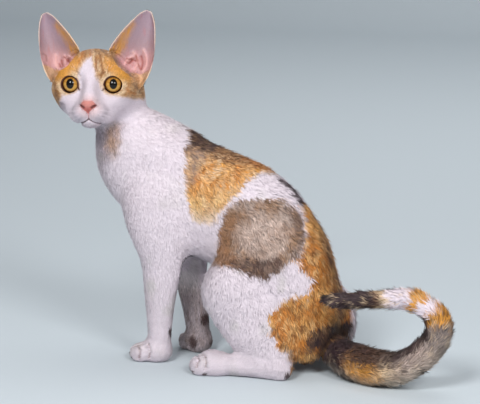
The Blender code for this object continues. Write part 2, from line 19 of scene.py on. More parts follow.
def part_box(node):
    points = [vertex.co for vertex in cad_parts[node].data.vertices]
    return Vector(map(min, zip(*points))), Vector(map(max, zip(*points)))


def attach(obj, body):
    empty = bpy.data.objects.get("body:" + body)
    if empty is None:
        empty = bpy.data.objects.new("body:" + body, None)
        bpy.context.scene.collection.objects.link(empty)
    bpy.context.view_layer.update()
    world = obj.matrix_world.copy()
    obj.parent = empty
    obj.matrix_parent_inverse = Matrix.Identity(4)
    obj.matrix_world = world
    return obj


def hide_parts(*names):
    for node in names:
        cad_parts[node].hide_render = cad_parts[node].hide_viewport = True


MM = 0.001
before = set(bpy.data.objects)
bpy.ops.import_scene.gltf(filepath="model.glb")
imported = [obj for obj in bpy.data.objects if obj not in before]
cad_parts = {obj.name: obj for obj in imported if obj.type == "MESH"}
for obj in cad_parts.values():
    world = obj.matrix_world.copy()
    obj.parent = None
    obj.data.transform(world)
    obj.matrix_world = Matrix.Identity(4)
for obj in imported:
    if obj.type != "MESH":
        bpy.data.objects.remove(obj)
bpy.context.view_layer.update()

# %% [markdown]
# ## Where the head is
#
# The solids stand with the middle of their footprint at the origin. The numbers in this lesson come from
# the cat's own axes, where the middle of the body is at y = 0. The two eyeballs tell how far the one lies
# from the other, so the lesson stays right if the footprint's middle moves a little.

# %% The cat's own axes and the head's
HEAD_AT = np.array([-143.0, -34.0, 282.0])
FACE_TURN = math.radians(-75.5)
FACE_LIFT = math.radians(5)
# from the middle of the head to the middle of each eye, in millimetres
EYE_SPREAD = 20.5


def node_middle(name):
    """Middle of a solid's box, in millimetres."""
    low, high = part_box(name)
    return np.array((low + high) / 2) / MM


SHIFT = (node_middle("eye_left") + node_middle("eye_right")) / 2 - HEAD_AT
HEAD_AXES = np.array(Matrix.Rotation(FACE_TURN, 3, "Z") @ Matrix.Rotation(-FACE_LIFT, 3, "Y"))
print("the footprint's middle lies off the cat's axes by, mm:", np.round(SHIFT, 2))


def in_head(points):
    """The cat's millimetres turned into the head's: forward, left and up from between the eyes."""
    return (points - HEAD_AT) @ HEAD_AXES


def from_head(points):
    """The head's millimetres turned back into the cat's."""
    return np.asarray(points) @ HEAD_AXES.T + HEAD_AT


def soft_step(low, high, values):
    """Rises smoothly from 0 at low to 1 at high, as 3t^2 - 2t^3."""
    t = np.clip((np.asarray(values, float) - low) / (high - low), 0, 1)
    return t * t * (3 - 2 * t)


def unit(vectors):
    """The same directions, at length 1."""
    return vectors / np.maximum(np.linalg.norm(vectors, axis=-1, keepdims=True), 1e-9)


# large odd numbers that scatter the corners of the noise's grid, and how many values a corner can have
NOISE_STEPS = np.array([73856093, 19349663, 83492791])
NOISE_SEED, NOISE_MIX, NOISE_LEVELS = 2654435761, 1274126177, 20011


def soft_noise(points, size, seed=0):
    """Smooth noise from -1 to 1: random numbers at the corners of a cube grid, blended in between."""
    place = points / size
    cell = np.floor(place).astype(np.int64)
    t = place - cell
    t = t * t * (3 - 2 * t)
    total = np.zeros(len(points))
    for i in range(8):
        corner = np.array([i & 1, i >> 1 & 1, i >> 2 & 1])
        at = (cell + corner) * NOISE_STEPS
        mixed = at[:, 0] ^ at[:, 1] ^ at[:, 2] ^ (seed * NOISE_SEED)
        mixed = ((mixed ^ (mixed >> 13)) * NOISE_MIX) & 0x7FFFFFFF
        value = (mixed % NOISE_LEVELS) / (NOISE_LEVELS // 2) - 1
        total += value * np.prod(np.where(corner, t, 1 - t), axis=1)
    return total


# %% [markdown]
# ## The camera
#
# The photograph was taken from the cat's left side, a little ahead of it and a little above, with a long
# lens from some way off. A 150 mm lens two metres away gives the same calm perspective. At that distance
# the frame is 480 mm wide, so a millimetre on the cat is a pixel in the frame.

# %% The camera's place
CAMERA_SIDE = math.radians(18)
CAMERA_RISE = math.radians(11)
CAMERA_AWAY = 2000.0
CAMERA_AIM = np.array([0.0, 0.0, 165.0])
FRAME_WIDE, FRAME_HIGH = 480, 404

rise, ahead = math.sin(CAMERA_RISE), math.cos(CAMERA_RISE)
TOWARDS_CAMERA = np.array([math.sin(CAMERA_SIDE) * ahead, -math.cos(CAMERA_SIDE) * ahead, rise])
CAMERA_AT = CAMERA_AIM + TOWARDS_CAMERA * CAMERA_AWAY
CAMERA_RIGHT = np.array([math.cos(CAMERA_SIDE), math.sin(CAMERA_SIDE), 0.0])
CAMERA_UP = np.cross(TOWARDS_CAMERA, CAMERA_RIGHT)


def in_scene(name, data):
    """A new object in the scene."""
    obj = bpy.data.objects.new(name, data)
    bpy.context.scene.collection.objects.link(obj)
    return obj


lens = bpy.data.cameras.new("photo_camera")
lens.lens = 150
lens.sensor_width = 36
lens.clip_start = 0.05
lens.clip_end = 50
camera = in_scene("photo_camera", lens)
camera.location = Vector((CAMERA_AT + SHIFT) * MM)
camera.rotation_euler = Vector(-TOWARDS_CAMERA).to_track_quat("-Z", "Y").to_euler()
bpy.context.scene.camera = camera
bpy.context.scene.view_settings.view_transform = "Standard"


def side_view(points):
    """Place of a point in the side view: millimetres right of and below the corner of the frame."""
    from_camera = points - CAMERA_AT
    away = -from_camera @ TOWARDS_CAMERA
    right = FRAME_WIDE / 2 + from_camera @ CAMERA_RIGHT / away * CAMERA_AWAY
    down = FRAME_HIGH / 2 - from_camera @ CAMERA_UP / away * CAMERA_AWAY
    return np.column_stack([right, down])


# %% [markdown]
# ## Floor and light
#
# The cat sits in a small studio: a pale floor that sweeps up behind it, a soft lamp ahead and above on the
# camera's left, a weaker one on the right, one overhead, one for the wall, and a pale sky that fills the
# shadows. White fur needs this, because a small hard lamp would burn it out on one side and leave the other
# grey.

# %% A pale floor that turns up into a wall
FLOOR_HALF = 4.5
SWEEP_AT = 3.0
SWEEP_RADIUS = 0.8
WALL_TOP = 3.5


def grid_faces(rows, columns, wrap=False):
    """Quads between neighbouring points of a grid. With wrap the last column joins the first."""
    index = np.arange(rows * columns).reshape(rows, columns)
    if wrap:
        index = np.hstack([index, index[:, :1]])
    return np.stack([index[:-1, :-1], index[:-1, 1:], index[1:, 1:], index[1:, :-1]], axis=2).reshape(-1, 4)


def sweep_floor():
    """A floor that runs back, rises in a quarter circle and ends as a wall: a profile carried sideways."""
    turn = np.linspace(0, math.pi / 2, 24)
    back = np.concatenate([[-FLOOR_HALF], SWEEP_AT + SWEEP_RADIUS * np.sin(turn), [SWEEP_AT + SWEEP_RADIUS]])
    up = np.concatenate([[0.0], SWEEP_RADIUS * (1 - np.cos(turn)), [WALL_TOP]])
    across = np.array([-FLOOR_HALF, FLOOR_HALF])
    points = np.stack(np.broadcast_arrays(across[:, None], back[None], up[None]), axis=2)
    return points.reshape(-1, 3), grid_faces(*points.shape[:2])


def plain_mesh(name, points, faces, material):
    """A mesh object from points in metres and faces that all have the same number of corners."""
    mesh = bpy.data.meshes.new(name)
    faces = np.asarray(faces, np.int32)
    count, corners = faces.shape
    mesh.vertices.add(len(points))
    mesh.vertices.foreach_set("co", np.asarray(points, np.float32).ravel())
    mesh.loops.add(count * corners)
    mesh.loops.foreach_set("vertex_index", faces.ravel())
    mesh.polygons.add(count)
    mesh.polygons.foreach_set("loop_start", np.arange(0, count * corners, corners, dtype=np.int32))
    mesh.update(calc_edges=True)
    mesh.shade_smooth()
    mesh.materials.append(material)
    return in_scene(name, mesh)


def principled(name, colour=None, **settings):
    """A new material with its main shader's sockets set by name."""
    material = bpy.data.materials.new(name)
    material.use_nodes = True
    sockets = material.node_tree.nodes["Principled BSDF"].inputs
    if colour is not None:
        sockets["Base Color"].default_value = (*colour, 1)
    for socket, value in settings.items():
        sockets[socket.replace("_", " ")].default_value = value
    return material


def add_node(tree, kind, inputs=(), **settings):
    """A new shader node, with its fields set by name, and its sockets from pairs of name and value."""
    node = tree.nodes.new(kind)
    for field, value in settings.items():
        setattr(node, field, value)
    for socket, value in inputs:
        node.inputs[socket].default_value = value
    return node


floor_material = principled("studio_floor", (0.60, 0.66, 0.70), Roughness=0.9)
floor = plain_mesh("studio_floor", *sweep_floor(), floor_material)

# %% Lamps
CAT_MIDDLE = (0, 0, 0.18)
# name, place and side of its square in metres, watts, and what it faces
LAMPS = [
    ("key_lamp", (-0.12, -1.75, 1.5), 0.6, 30, CAT_MIDDLE),
    ("fill_lamp", (1.25, -1.4, 1.3), 0.6, 21, CAT_MIDDLE),
    ("top_lamp", (0.1, 0.5, 1.9), 1.2, 7.5, CAT_MIDDLE),
    ("wall_lamp", (0, 1.4, 2.1), 1.4, 22, (0, 3.9, 0.3)),
]
SKY_COLOUR = (0.93, 0.96, 1.0, 1)
SKY_STRENGTH = 0.26

for name, at, size, watts, facing in LAMPS:
    light = bpy.data.lights.new(name, "AREA")
    light.size = size
    light.energy = watts
    lamp = in_scene(name, light)
    lamp.location = at
    lamp.rotation_euler = (Vector(facing) - Vector(at)).to_track_quat("-Z", "Y").to_euler()
world = bpy.data.worlds.new("studio_sky")
world.use_nodes = True
sky = world.node_tree.nodes["Background"].inputs
sky["Color"].default_value = SKY_COLOUR
sky["Strength"].default_value = SKY_STRENGTH
bpy.context.scene.world = world

# %% [markdown]
# ## One skin from many solids
#
# The solids are cut into head, neck, torso, legs and tail with thin gaps. Skin has no such seams. Each
# solid is copied and swollen a little, so that neighbours overlap, and a voxel remesh fuses them into one
# closed surface of small even squares. Rounds of smoothing then take the flat facets away. The smoothing
# goes forwards and a little more backwards in turn, because plain smoothing would shrink the thin legs.

# %% Fusing the solids
FLESH = sorted(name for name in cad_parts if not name.startswith("eye_"))
SWELL = 0.35
HEAD_SWELL = 0.8
VOXEL = 0.85


def read(items, field, width, kind=np.float32):
    """One field of a mesh's points, edges or corners, a row for each."""
    values = np.empty(width * len(items), kind)
    items.foreach_get(field, values)
    return values.reshape(-1, width)


def mesh_arrays(mesh):
    """Points in the cat's millimetres, and the normals there."""
    points = read(mesh.vertices, "co", 3).astype(float) / MM - SHIFT
    return points, read(mesh.vertex_normals, "vector", 3).astype(float)


def mesh_edges(mesh):
    """The two ends of every edge."""
    return read(mesh.edges, "vertices", 2, np.int32)


def place_points(mesh, points):
    """Puts points in the cat's millimetres back into a mesh."""
    mesh.vertices.foreach_set("co", ((points + SHIFT) * MM).astype(np.float32).ravel())
    mesh.update()


def swollen_flesh():
    """One object from swollen, merged copies of all the solids of flesh."""
    merged = bmesh.new()
    for name in FLESH:
        part = bmesh.new()
        part.from_mesh(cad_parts[name].data)
        bmesh.ops.remove_doubles(part, verts=part.verts, dist=1e-6)
        bmesh.ops.recalc_face_normals(part, faces=part.faces)
        part.normal_update()
        mesh = bpy.data.meshes.new("swollen")
        part.to_mesh(mesh)
        part.free()
        points, normals = mesh_arrays(mesh)
        place_points(mesh, points + normals * (HEAD_SWELL if name == "head" else SWELL))
        merged.from_mesh(mesh)
        bpy.data.meshes.remove(mesh)
    mesh = bpy.data.meshes.new("cat_skin")
    merged.to_mesh(mesh)
    merged.free()
    return in_scene("cat_skin", mesh)


def applied(obj, kind, **settings):
    """Adds one modifier with its settings, and keeps its result as the mesh."""
    modifier = obj.modifiers.new(kind.title(), kind)
    for field, value in settings.items():
        setattr(modifier, field, value)
    graph = bpy.context.evaluated_depsgraph_get()
    graph.update()
    mesh = bpy.data.meshes.new_from_object(obj.evaluated_get(graph))
    obj.modifiers.clear()
    obj.data = mesh


def largest_surface(mesh):
    """Deletes all but the largest connected surface, found by spreading the lowest index along the edges."""
    edges = mesh_edges(mesh)
    label = np.arange(len(mesh.vertices))
    while True:
        low = label[edges].min(axis=1)
        after = label.copy()
        np.minimum.at(after, edges[:, 0], low)
        np.minimum.at(after, edges[:, 1], low)
        after = after[after]
        if (after == label).all():
            break
        label = after
    names, counts = np.unique(label, return_counts=True)
    loose = np.flatnonzero(label != names[counts.argmax()])
    form = bmesh.new()
    form.from_mesh(mesh)
    form.verts.ensure_lookup_table()
    bmesh.ops.delete(form, geom=[form.verts[i] for i in loose], context="VERTS")
    form.to_mesh(mesh)
    form.free()
    return len(names) - 1


def evenly_squared(obj, stage):
    """Fuses an object into one closed surface of even squares."""
    applied(obj, "REMESH", mode="VOXEL", voxel_size=VOXEL * MM)
    dropped = largest_surface(obj.data)
    print(stage, len(obj.data.polygons), "squares, loose scraps dropped:", dropped)


skin = swollen_flesh()
evenly_squared(skin, "fused skin:")

# %% [markdown]
# ## Naming places on the body
#
# The coat's depth and lie, the smoothing and the markings all need to know where on the cat a point is.
# The ears are found in the head's axes as what stands clear of the skull's rounded form, and the head as
# what lies past the plane behind the jaw. Each answer is a number from 0 to 1, so that one place runs
# softly into the next.

# %% Head, ears and face as soft masks
JAW_PLANE = (np.array([-28.0, 8.0, -30.0]), np.array([0.5, -0.2, 0.84]))
SKULL_MIDDLE, SKULL_RADII = [-24, 0, 4], [36, 37.5, 29.5]


def head_share(face):
    """How much a point belongs to the head: its height over the plane behind the jaw."""
    point, axis = JAW_PLANE
    return soft_step(-5, 7, (face - point) @ (axis / np.linalg.norm(axis)))


def ear_share(face):
    """How much a point belongs to an ear: high at the side, and outside the skull's ellipsoid."""
    outside = np.linalg.norm((face - SKULL_MIDDLE) / SKULL_RADII, axis=1) - 1
    return soft_step(0.05, 0.2, outside) * soft_step(8, 15, np.abs(face[:, 1])) * soft_step(-2, 8, face[:, 2])


def front_share(face):
    """How much a point belongs to the front of the face."""
    return soft_step(-16, 4, face[:, 0]) * head_share(face)


# %% [markdown]
# ## The mouth of each ear
#
# A cat's ear is a funnel. Its sheet runs on down into the side of the skull, so the hollow starts well
# inside the outline of the head. The solids end each ear's sheet at the skull. Here the sheet's grid is
# laid out again in the head's millimetres, and inside the mouth of the ear the skull is pressed back until
# it meets that sheet. A second remesh gives the stretched walls even squares again.

# %% Pressing the ear cups in
# the edges of the ear's sheet from root to tip, forward, left and up, and how deep its cup is there
EAR_INNER = [(-10, 10, 21), (-11, 15.5, 36), (-15, 25, 50), (-20, 34.5, 61), (-25, 43.5, 70), (-29, 50.5, 74)]
EAR_OUTER = [(-12, 37, -12), (-15, 50, 8), (-18, 55.5, 25), (-21, 58, 43), (-25, 58, 60), (-29, 55.5, 71.5)]
EAR_DEPTH = [24, 25, 19, 13, 7, 1.6]
EAR_BACK = np.array([-0.93, 0.32, 0.16])
# droop of the tip and flare of the root, for the cat's left and right ear
EAR_DROOP_FLARE = {1: (0.0, 5.0), -1: (3.0, -2.0)}
# mouths of the cups seen from the front: left and up in the head's millimetres
EAR_MOUTHS = {
    1: [
        (14, 38), (19, 33), (21, 26), (26, 18), (34, 11), (45, 8.5), (53, 12), (59, 18), (72, 26), (72, 90),
        (40, 90),
    ],
    -1: [
        (-14, 38), (-18, 32), (-20, 25), (-24, 18), (-32, 13), (-42, 12), (-50, 17), (-66, 24), (-66, 90),
        (-36, 90),
    ],
}


def ear_grid(side, rows=25, columns=13):
    """The ear's sheet: rows from inner to outer edge, each bowed back by the cup's depth."""
    at = np.linspace(0, len(EAR_DEPTH) - 1, rows)
    known = np.arange(len(EAR_DEPTH))
    inner, outer = (
        np.stack([np.interp(at, known, line) for line in np.array(edge, float).T], axis=1)[:, None]
        for edge in (EAR_INNER, EAR_OUTER)
    )
    depth = np.interp(at, known, EAR_DEPTH)[:, None, None]
    share = np.linspace(0, 1, columns)[None, :, None]
    grid = inner * (1 - share) + outer * share
    grid = grid + EAR_BACK * depth * np.sin(math.pi * share) ** 0.8
    rise = np.linspace(0, 1, rows)[:, None]
    droop, flare = EAR_DROOP_FLARE[side]
    grid[:, :, 1] = side * (grid[:, :, 1] + flare * (1 - rise) * share[:, :, 0])
    grid[:, :, 2] -= droop * rise
    return grid


def ear_edge(side):
    """The ear's edge: from the root of its inner edge over the tip to the root of its outer edge."""
    grid = ear_grid(side)
    return np.vstack([grid[:, 0], grid[-1, 1:-1], grid[::-1, -1]])


def path_distance(across, path):
    """Distance from each point to a line through the path's points, segment by segment."""
    path = np.asarray(path, float)
    nearest = np.full(len(across), np.inf)
    for a, b in zip(path, path[1:]):
        along = np.clip(((across - a) @ (b - a)) / ((b - a) @ (b - a)), 0, 1)
        nearest = np.minimum(nearest, np.linalg.norm(across - a - along[:, None] * (b - a), axis=1))
    return nearest


def edge_distance(face):
    """Distance to the edge of the nearer ear."""
    return np.minimum(*(path_distance(face, ear_edge(side)) for side in (1, -1)))


def inside(view, outline, edge=2.0, depth=False):
    """1 inside a closed outline and 0 outside, softened over its edge. With depth: millimetres inside it."""
    outline = np.asarray(outline, float)
    closed = np.vstack([outline, outline[:1]])
    x, y = view.T
    crossings = np.zeros(len(view), int)
    for (ax, ay), (bx, by) in zip(closed, closed[1:]):
        between = (ay > y) != (by > y)
        slope = (bx - ax) * (y - ay) / (by - ay if by != ay else 1e-9) + ax
        crossings += between & (x < slope)
    distance = np.where(crossings % 2, 1, -1) * path_distance(view, closed)
    return distance if depth else soft_step(-edge, edge, distance)


def sheet_front(side, across):
    """How far forward the ear's sheet lies, seen from the front: mean of its grid by 1 / distance^8."""
    grid = ear_grid(side, 40, 25).reshape(-1, 3)
    weight = 1 / (((across[:, None] - grid[None, :, 1:]) ** 2).sum(2) + 0.3) ** 4
    return (weight * grid[:, 0]).sum(1) / weight.sum(1)


CUP_WALL = 3.5
CUP_FILL = 1.3
# the pressing fades out between these heights, where the skull ends
CUP_FADE = (43.0, 34.0)


def pressed_cups(points):
    """Presses the skull back to the ears' sheets, more the further a point is inside an ear's mouth."""
    face = in_head(points)
    for side, mouth in EAR_MOUTHS.items():
        near = (face[:, 1] * side > 10) & (face[:, 2] > 4) & (face[:, 2] < CUP_FADE[0]) & (face[:, 0] > -40)
        chosen = np.flatnonzero(near)
        across = face[chosen, 1:]
        amount = soft_step(0, CUP_WALL, inside(across, mouth, depth=True))
        amount *= soft_step(*CUP_FADE, across[:, 1])
        excess = np.maximum(face[chosen, 0] - sheet_front(side, across) - CUP_FILL, 0)
        face[chosen, 0] -= amount * excess
    return from_head(face)


points, _ = mesh_arrays(skin.data)
place_points(skin.data, pressed_cups(points))
evenly_squared(skin, "after pressing the cups:")


# %% Smoothing the skin
def neighbour_mean(values, edges, degree):
    """Mean of each point's neighbours."""
    one, two = edges.T
    count = len(values)
    total = [np.bincount(one, row[two], count) + np.bincount(two, row[one], count) for row in values.T]
    return np.stack(total, axis=1) / degree[:, None]


def smoothed(values, edges, rounds, share=1.0):
    """Evens out values along the edges: half a step towards the neighbours, then a little more back."""
    degree = np.maximum(np.bincount(edges.ravel(), minlength=len(values)), 1)
    share = np.broadcast_to(np.asarray(share, float), (len(values),))[:, None]
    for _ in range(rounds):
        for step in (0.5, -0.52):
            values = values + step * share * (neighbour_mean(values, edges, degree) - values)
    return values


BODY_ROUNDS = 26
EAR_ROUNDS_SHARE = 0.25

points, normals = mesh_arrays(skin.data)
edges = mesh_edges(skin.data)
face = in_head(points)
calm = 1 - (1 - EAR_ROUNDS_SHARE) * ear_share(face)
in_cup = np.maximum(*[inside(face[:, 1:], mouth, depth=True) for mouth in EAR_MOUTHS.values()])
calm = np.maximum(calm, soft_step(-1, 2, in_cup) * soft_step(44, 36, face[:, 2]) * (face[:, 0] > -42))
calm *= 1 - 0.6 * front_share(face)
place_points(skin.data, smoothed(points, edges, BODY_ROUNDS, calm))

# %% [markdown]
# ## How the coat lies
#
# A cat's hair points from the nose back over the head, down the neck and along the body to the tail, and
# down the legs to the toes. One table says this for a few places, with the coat's depth and length there,
# in millimetres. A point in between takes a mean in which near places count most. On this breed the coat
# is very short and soft, a little longer and wavier on the haunches, and longest on the tail.

# %% Table of the coat
# place: (point), (lie of the hair), reach of the entry, coat depth, tuft length, both sides alike
COAT_PLACES = [
    ((-112, 0, 252), (0.75, 0, -0.65), 30, 1.2, 5.5, False),
    ((-133, 0, 214), (0.15, 0, -1.0), 26, 1.2, 5.5, False),
    ((-128, 0, 180), (0.25, 0, -0.97), 30, 1.7, 7.0, False),
    ((-100, 10, 140), (0.5, 0, -0.85), 24, 1.7, 7.5, True),
    ((-84, 32, 190), (0.45, 0, -0.9), 34, 1.4, 6.0, True),
    ((-20, 8, 214), (0.85, 0, -0.45), 40, 1.4, 6.5, True),
    ((-20, 38, 160), (0.75, 0, -0.65), 40, 1.6, 7.0, True),
    ((44, 10, 182), (0.72, 0, -0.7), 36, 1.7, 7.5, True),
    ((84, 14, 132), (0.42, 0, -0.9), 34, 2.0, 8.5, True),
    ((100, 14, 82), (0.25, 0, -0.97), 28, 2.0, 8.5, True),
    ((-40, 0, 116), (0.9, 0, -0.35), 30, 1.7, 8.0, False),
    ((-74, 36, 130), (0.1, 0, -1.0), 28, 1.3, 6.0, True),
    ((-76, 26, 70), (0.05, 0, -1.0), 22, 1.1, 5.0, True),
    ((-77, 25, 32), (-0.05, 0, -1.0), 14, 0.8, 3.8, True),
    ((-90, -22, 12), (-0.92, 0, -0.38), 15, 0.6, 3.0, False),
    ((-64, 34, 12), (-0.66, 0.62, -0.4), 15, 0.6, 3.0, False),
    ((0, 46, 135), (0.62, 0, -0.78), 30, 1.7, 7.5, True),
    ((35, 50, 100), (0.4, 0, -0.92), 34, 1.8, 7.5, True),
    ((75, 44, 70), (0.3, 0, -0.95), 30, 2.0, 8.5, True),
    ((10, 56, 66), (-0.1, 0, -1.0), 24, 1.4, 6.0, True),
    ((50, 56, 26), (-0.3, 0, -0.95), 16, 1.2, 5.0, True),
    ((24, 56, 14), (-0.95, 0, -0.3), 18, 0.8, 3.6, True),
    ((-16, 54, 12), (-0.92, 0, -0.4), 16, 0.6, 3.0, True),
]

# Middle line of the tail from root to tip, with the depth and length of its coat
TAIL_LINE = np.array(
    [
        (84, -2, 44), (98, -10, 27), (119, -25, 20), (146, -39, 18), (173, -47, 21), (194, -50, 32),
        (210, -52, 48), (216, -53, 63), (213, -54, 76), (202, -55, 86), (187, -57, 92), (165, -59, 91),
        (141, -62, 89), (122, -66, 88), (108, -70, 89),
    ],
    float,
)
TAIL_COAT = (3.2, 11.0)
TAIL_TIP_COAT = (1.9, 9.0)
TAIL_REACH = 15


def coat_table():
    """All entries as arrays: points, lies, reaches, and pairs of depth and length."""
    rows = []
    for at, lie, reach, depth, length, both in COAT_PLACES:
        rows.append((*at, *lie, reach, depth, length))
        if both:
            rows.append((at[0], -at[1], at[2], lie[0], -lie[1], lie[2], reach, depth, length))
    along = np.gradient(TAIL_LINE, axis=0)
    run = np.linspace(0, 1, len(TAIL_LINE))[2:, None]
    depth, length = (a + (b - a) * run for a, b in zip(TAIL_COAT, TAIL_TIP_COAT))
    reach = np.full_like(run, TAIL_REACH)
    rows = np.vstack([np.array(rows, float), np.hstack([TAIL_LINE[2:], along[2:], reach, depth, length])])
    return rows[:, :3], unit(rows[:, 3:6]), rows[:, 6], rows[:, 7:9]


def body_coat(points):
    """Lie, depth and length of the coat from the table, each entry weighted by 1 / (distance / reach)^4."""
    lie, size, total = 0, 0, 0
    for at, way, far, pair in zip(*coat_table()):
        near = 1 / (0.02 + (((points - at) / far) ** 2).sum(1)) ** 2
        lie = lie + near[:, None] * way
        size = size + near[:, None] * pair
        total = total + near
    return unit(lie), size / total[:, None]


# the tip of the nose, the point that the hair of the face leads away from, and the lie on an ear
NOSE_TIP = [27, 0, -19]
HAIR_FROM = [30.0, 0, -15.0]
EAR_LIE = [-0.25, 0.5, 0.85]


def head_coat(face):
    """Lie, depth and length on the head: away from the nose, and on an ear out towards its tip."""
    side = np.sign(face[:, 1])
    to_tip = np.stack([0 * side + EAR_LIE[0], EAR_LIE[1] * side, 0 * side + EAR_LIE[2]], axis=1)
    ear = ear_share(face)
    lie = unit(face - HAIR_FROM) * (1 - ear[:, None]) + to_tip * ear[:, None]
    nose = 1 - soft_step(4, 11, np.linalg.norm((face - NOSE_TIP) / [1, 1.25, 1], axis=1))
    front = front_share(face)
    depth = (1.0 - 0.45 * front) * (1 - 0.85 * ear) * (1 - nose)
    length = (4.2 - 1.6 * front) * (1 - 0.3 * ear) * (1 - 0.4 * nose)
    return lie @ HEAD_AXES.T, np.stack([depth, length], axis=1)


def coat_at(points):
    """Lie, depth and length of the coat at any point, the head's blended into the body's."""
    face = in_head(points)
    share = head_share(face)[:, None]
    pairs = zip(body_coat(points), head_coat(face))
    lie, size = (body * (1 - share) + head * share for body, head in pairs)
    return lie, size[:, 0], size[:, 1]


# %% Sinking the skin under the coat
DEPTH_ROUNDS = 4

points, normals = mesh_arrays(skin.data)
_, depth, _ = coat_at(points)
face = in_head(points)
head_extra = (HEAD_SWELL - SWELL) * head_share(face) * (1 - ear_share(face))
depth = smoothed(depth[:, None], edges, DEPTH_ROUNDS)[:, 0]
place_points(skin.data, points - normals * (depth + SWELL + head_extra)[:, None])

# %% [markdown]
# ## Fewer triangles where the body is plain, more on the face
#
# The small squares are wanted on the face and ears only. A vertex group tells Decimate where it may merge
# them, so that the back and thighs come out coarser and the head keeps every one. The muzzle and the lids
# are then split once more, because a nostril is only two or three millimetres wide.

# %% Thinning the body, splitting the face
FIRST_THINNING = 0.42
SKIN_TRIANGLES = 160_000


def thin_body(obj, target):
    """Thins the whole skin evenly, then merges edges away from head and paws down to the target."""
    applied(obj, "DECIMATE", ratio=FIRST_THINNING)
    points, _ = mesh_arrays(obj.data)
    paws = soft_step(30, 24, points[:, 2]) * soft_step(20, 0, points[:, 0])
    weight = 1 - np.maximum(head_share(in_head(points)), paws)
    group = obj.vertex_groups.new(name="plain")
    for level in range(1, 5):
        chosen = np.flatnonzero(np.round(weight * 4) == level).tolist()
        group.add(chosen, level / 4, "REPLACE")
    settings = {"ratio": target / len(obj.data.polygons), "vertex_group": "plain", "vertex_group_factor": 0.6}
    applied(obj, "DECIMATE", **settings)
    obj.vertex_groups.clear()
    applied(obj, "TRIANGULATE")


def fine_place(face):
    """Where the face needs finer squares: the nose and mouth, and a ring round each eye."""
    muzzle = (np.abs(face[:, 1]) < 15) & (face[:, 2] < -8) & (face[:, 2] > -42) & (face[:, 0] > 8)
    eyes = (np.hypot(np.abs(face[:, 1]) - EYE_SPREAD, face[:, 2]) < 15) & (face[:, 0] > 2)
    return muzzle | eyes


def split_face(obj):
    """Splits every edge of the fine places in half."""
    form = bmesh.new()
    form.from_mesh(obj.data)
    points, _ = mesh_arrays(obj.data)
    fine = fine_place(in_head(points))
    chosen = [edge for edge in form.edges if fine[edge.verts[0].index] and fine[edge.verts[1].index]]
    bmesh.ops.subdivide_edges(form, edges=chosen, cuts=1, use_grid_fill=True)
    bmesh.ops.triangulate(form, faces=form.faces)
    form.to_mesh(obj.data)
    form.free()


thin_body(skin, SKIN_TRIANGLES)
split_face(skin)
print("skin:", len(skin.data.polygons), "triangles")

# %% [markdown]
# ## Carving the face
#
# A sculptor would now press lines and pits into the clay. Here each stroke is a path on the face seen from
# the front, in the head's left and up millimetres. A point's distance to the path tells how far it moves
# along its own normal: inwards for the line of the mouth, the parting under the nose, the nostrils, the
# edges of the wings of the nose and the crease above each lid, outwards for the chin and the whisker pads.
# The folds inside the ears are raised and pressed in towards the front and the back in the same way.

# %% Strokes on the face
def stroke(across, path, width):
    """Strength of a stroke: 1 on its path, falling as exp(-(distance / width)^2)."""
    return np.exp(-((path_distance(across, path) / width) ** 2))


MOUTH = [(0.0, -33.2), (4.2, -35.8), (8.6, -37.6), (12.0, -38.2)]
PARTING = [(0, -25.5), (0, -33.2)]
NOSTRIL = [(4.0, -21.8), (5.6, -20.6), (7.4, -19.8)]
WING = [(4.2, -16.6), (7.4, -17.8), (8.6, -20.8), (6.6, -23.4)]
LID_CREASE = [(9.5, 8.0), (14.5, 12.3), (21.0, 13.6), (28.0, 11.4), (32.5, 6.0)]
CHIN = [(0, -41), (5, -41)]
WHISKER_PAD = [(6.5, -30.5), (10.5, -29.0)]
# path, width and height in mm: outwards is positive
FACE_STROKES = [
    (MOUTH, 0.8, -1.3),
    (PARTING, 0.6, -0.8),
    (NOSTRIL, 0.9, -1.5),
    (WING, 0.8, -0.4),
    (CHIN, 5.0, 2.0),
    (LID_CREASE, 1.3, -0.55),
    (WHISKER_PAD, 4.5, 0.7),
]
# how far the muzzle moves to the cat's right for each millimetre forwards
MUZZLE_TURN = 0.05


def both_sides(face):
    """Folds the face at its middle, which follows the turned muzzle: one path counts on both sides."""
    return np.column_stack([np.abs(face[:, 1] + MUZZLE_TURN * np.maximum(face[:, 0], 0)), face[:, 2]])


def carved_face(points, normals):
    """Moves points of the face along their normals by the strokes, then turns the muzzle sideways."""
    face = in_head(points)
    share = head_share(face)
    folded = np.column_stack([np.abs(face[:, 1]), face[:, 2]])
    front = soft_step(0, 8, face[:, 0]) * share
    move = sum(height * stroke(folded, path, width) for path, width, height in FACE_STROKES)
    points = points + normals * (move * front)[:, None]
    return points - HEAD_AXES[:, 1] * (MUZZLE_TURN * np.maximum(face[:, 0], 0) * share)[:, None]


# Ridges and furrows in the mouth of each ear: paths in the head's left and up millimetres, width, height
EAR_FOLDS = [
    ([(29, 19), (33, 25), (38, 27.5)], 1.5, 1.6),
    ([(38, 13), (41, 19), (41, 26), (37, 31)], 1.6, 1.8),
    ([(46, 12), (50, 18), (50, 26), (47, 33)], 1.6, 1.5),
    ([(33.5, 20), (36, 23.5), (39, 22)], 1.0, -1.6),
    ([(45, 14), (46, 20), (44.5, 27)], 1.1, -1.8),
    ([(-22, 20), (-25, 25), (-29, 27)], 1.5, 1.5),
    ([(-31, 15), (-33, 20), (-33, 27)], 1.6, 1.6),
    ([(-39, 14), (-42, 20), (-42, 27)], 1.6, 1.3),
    ([(-27.5, 19), (-29, 23)], 1.0, -1.5),
    ([(-35.5, 16), (-36.5, 22)], 1.0, -1.5),
]
# the little pocket on the outer edge of each ear
EAR_POCKETS = [[(61, 29), (58, 27), (57, 22)], [(-53.5, 29), (-51, 27), (-50, 22)]]
POCKET_WIDTH = 0.8
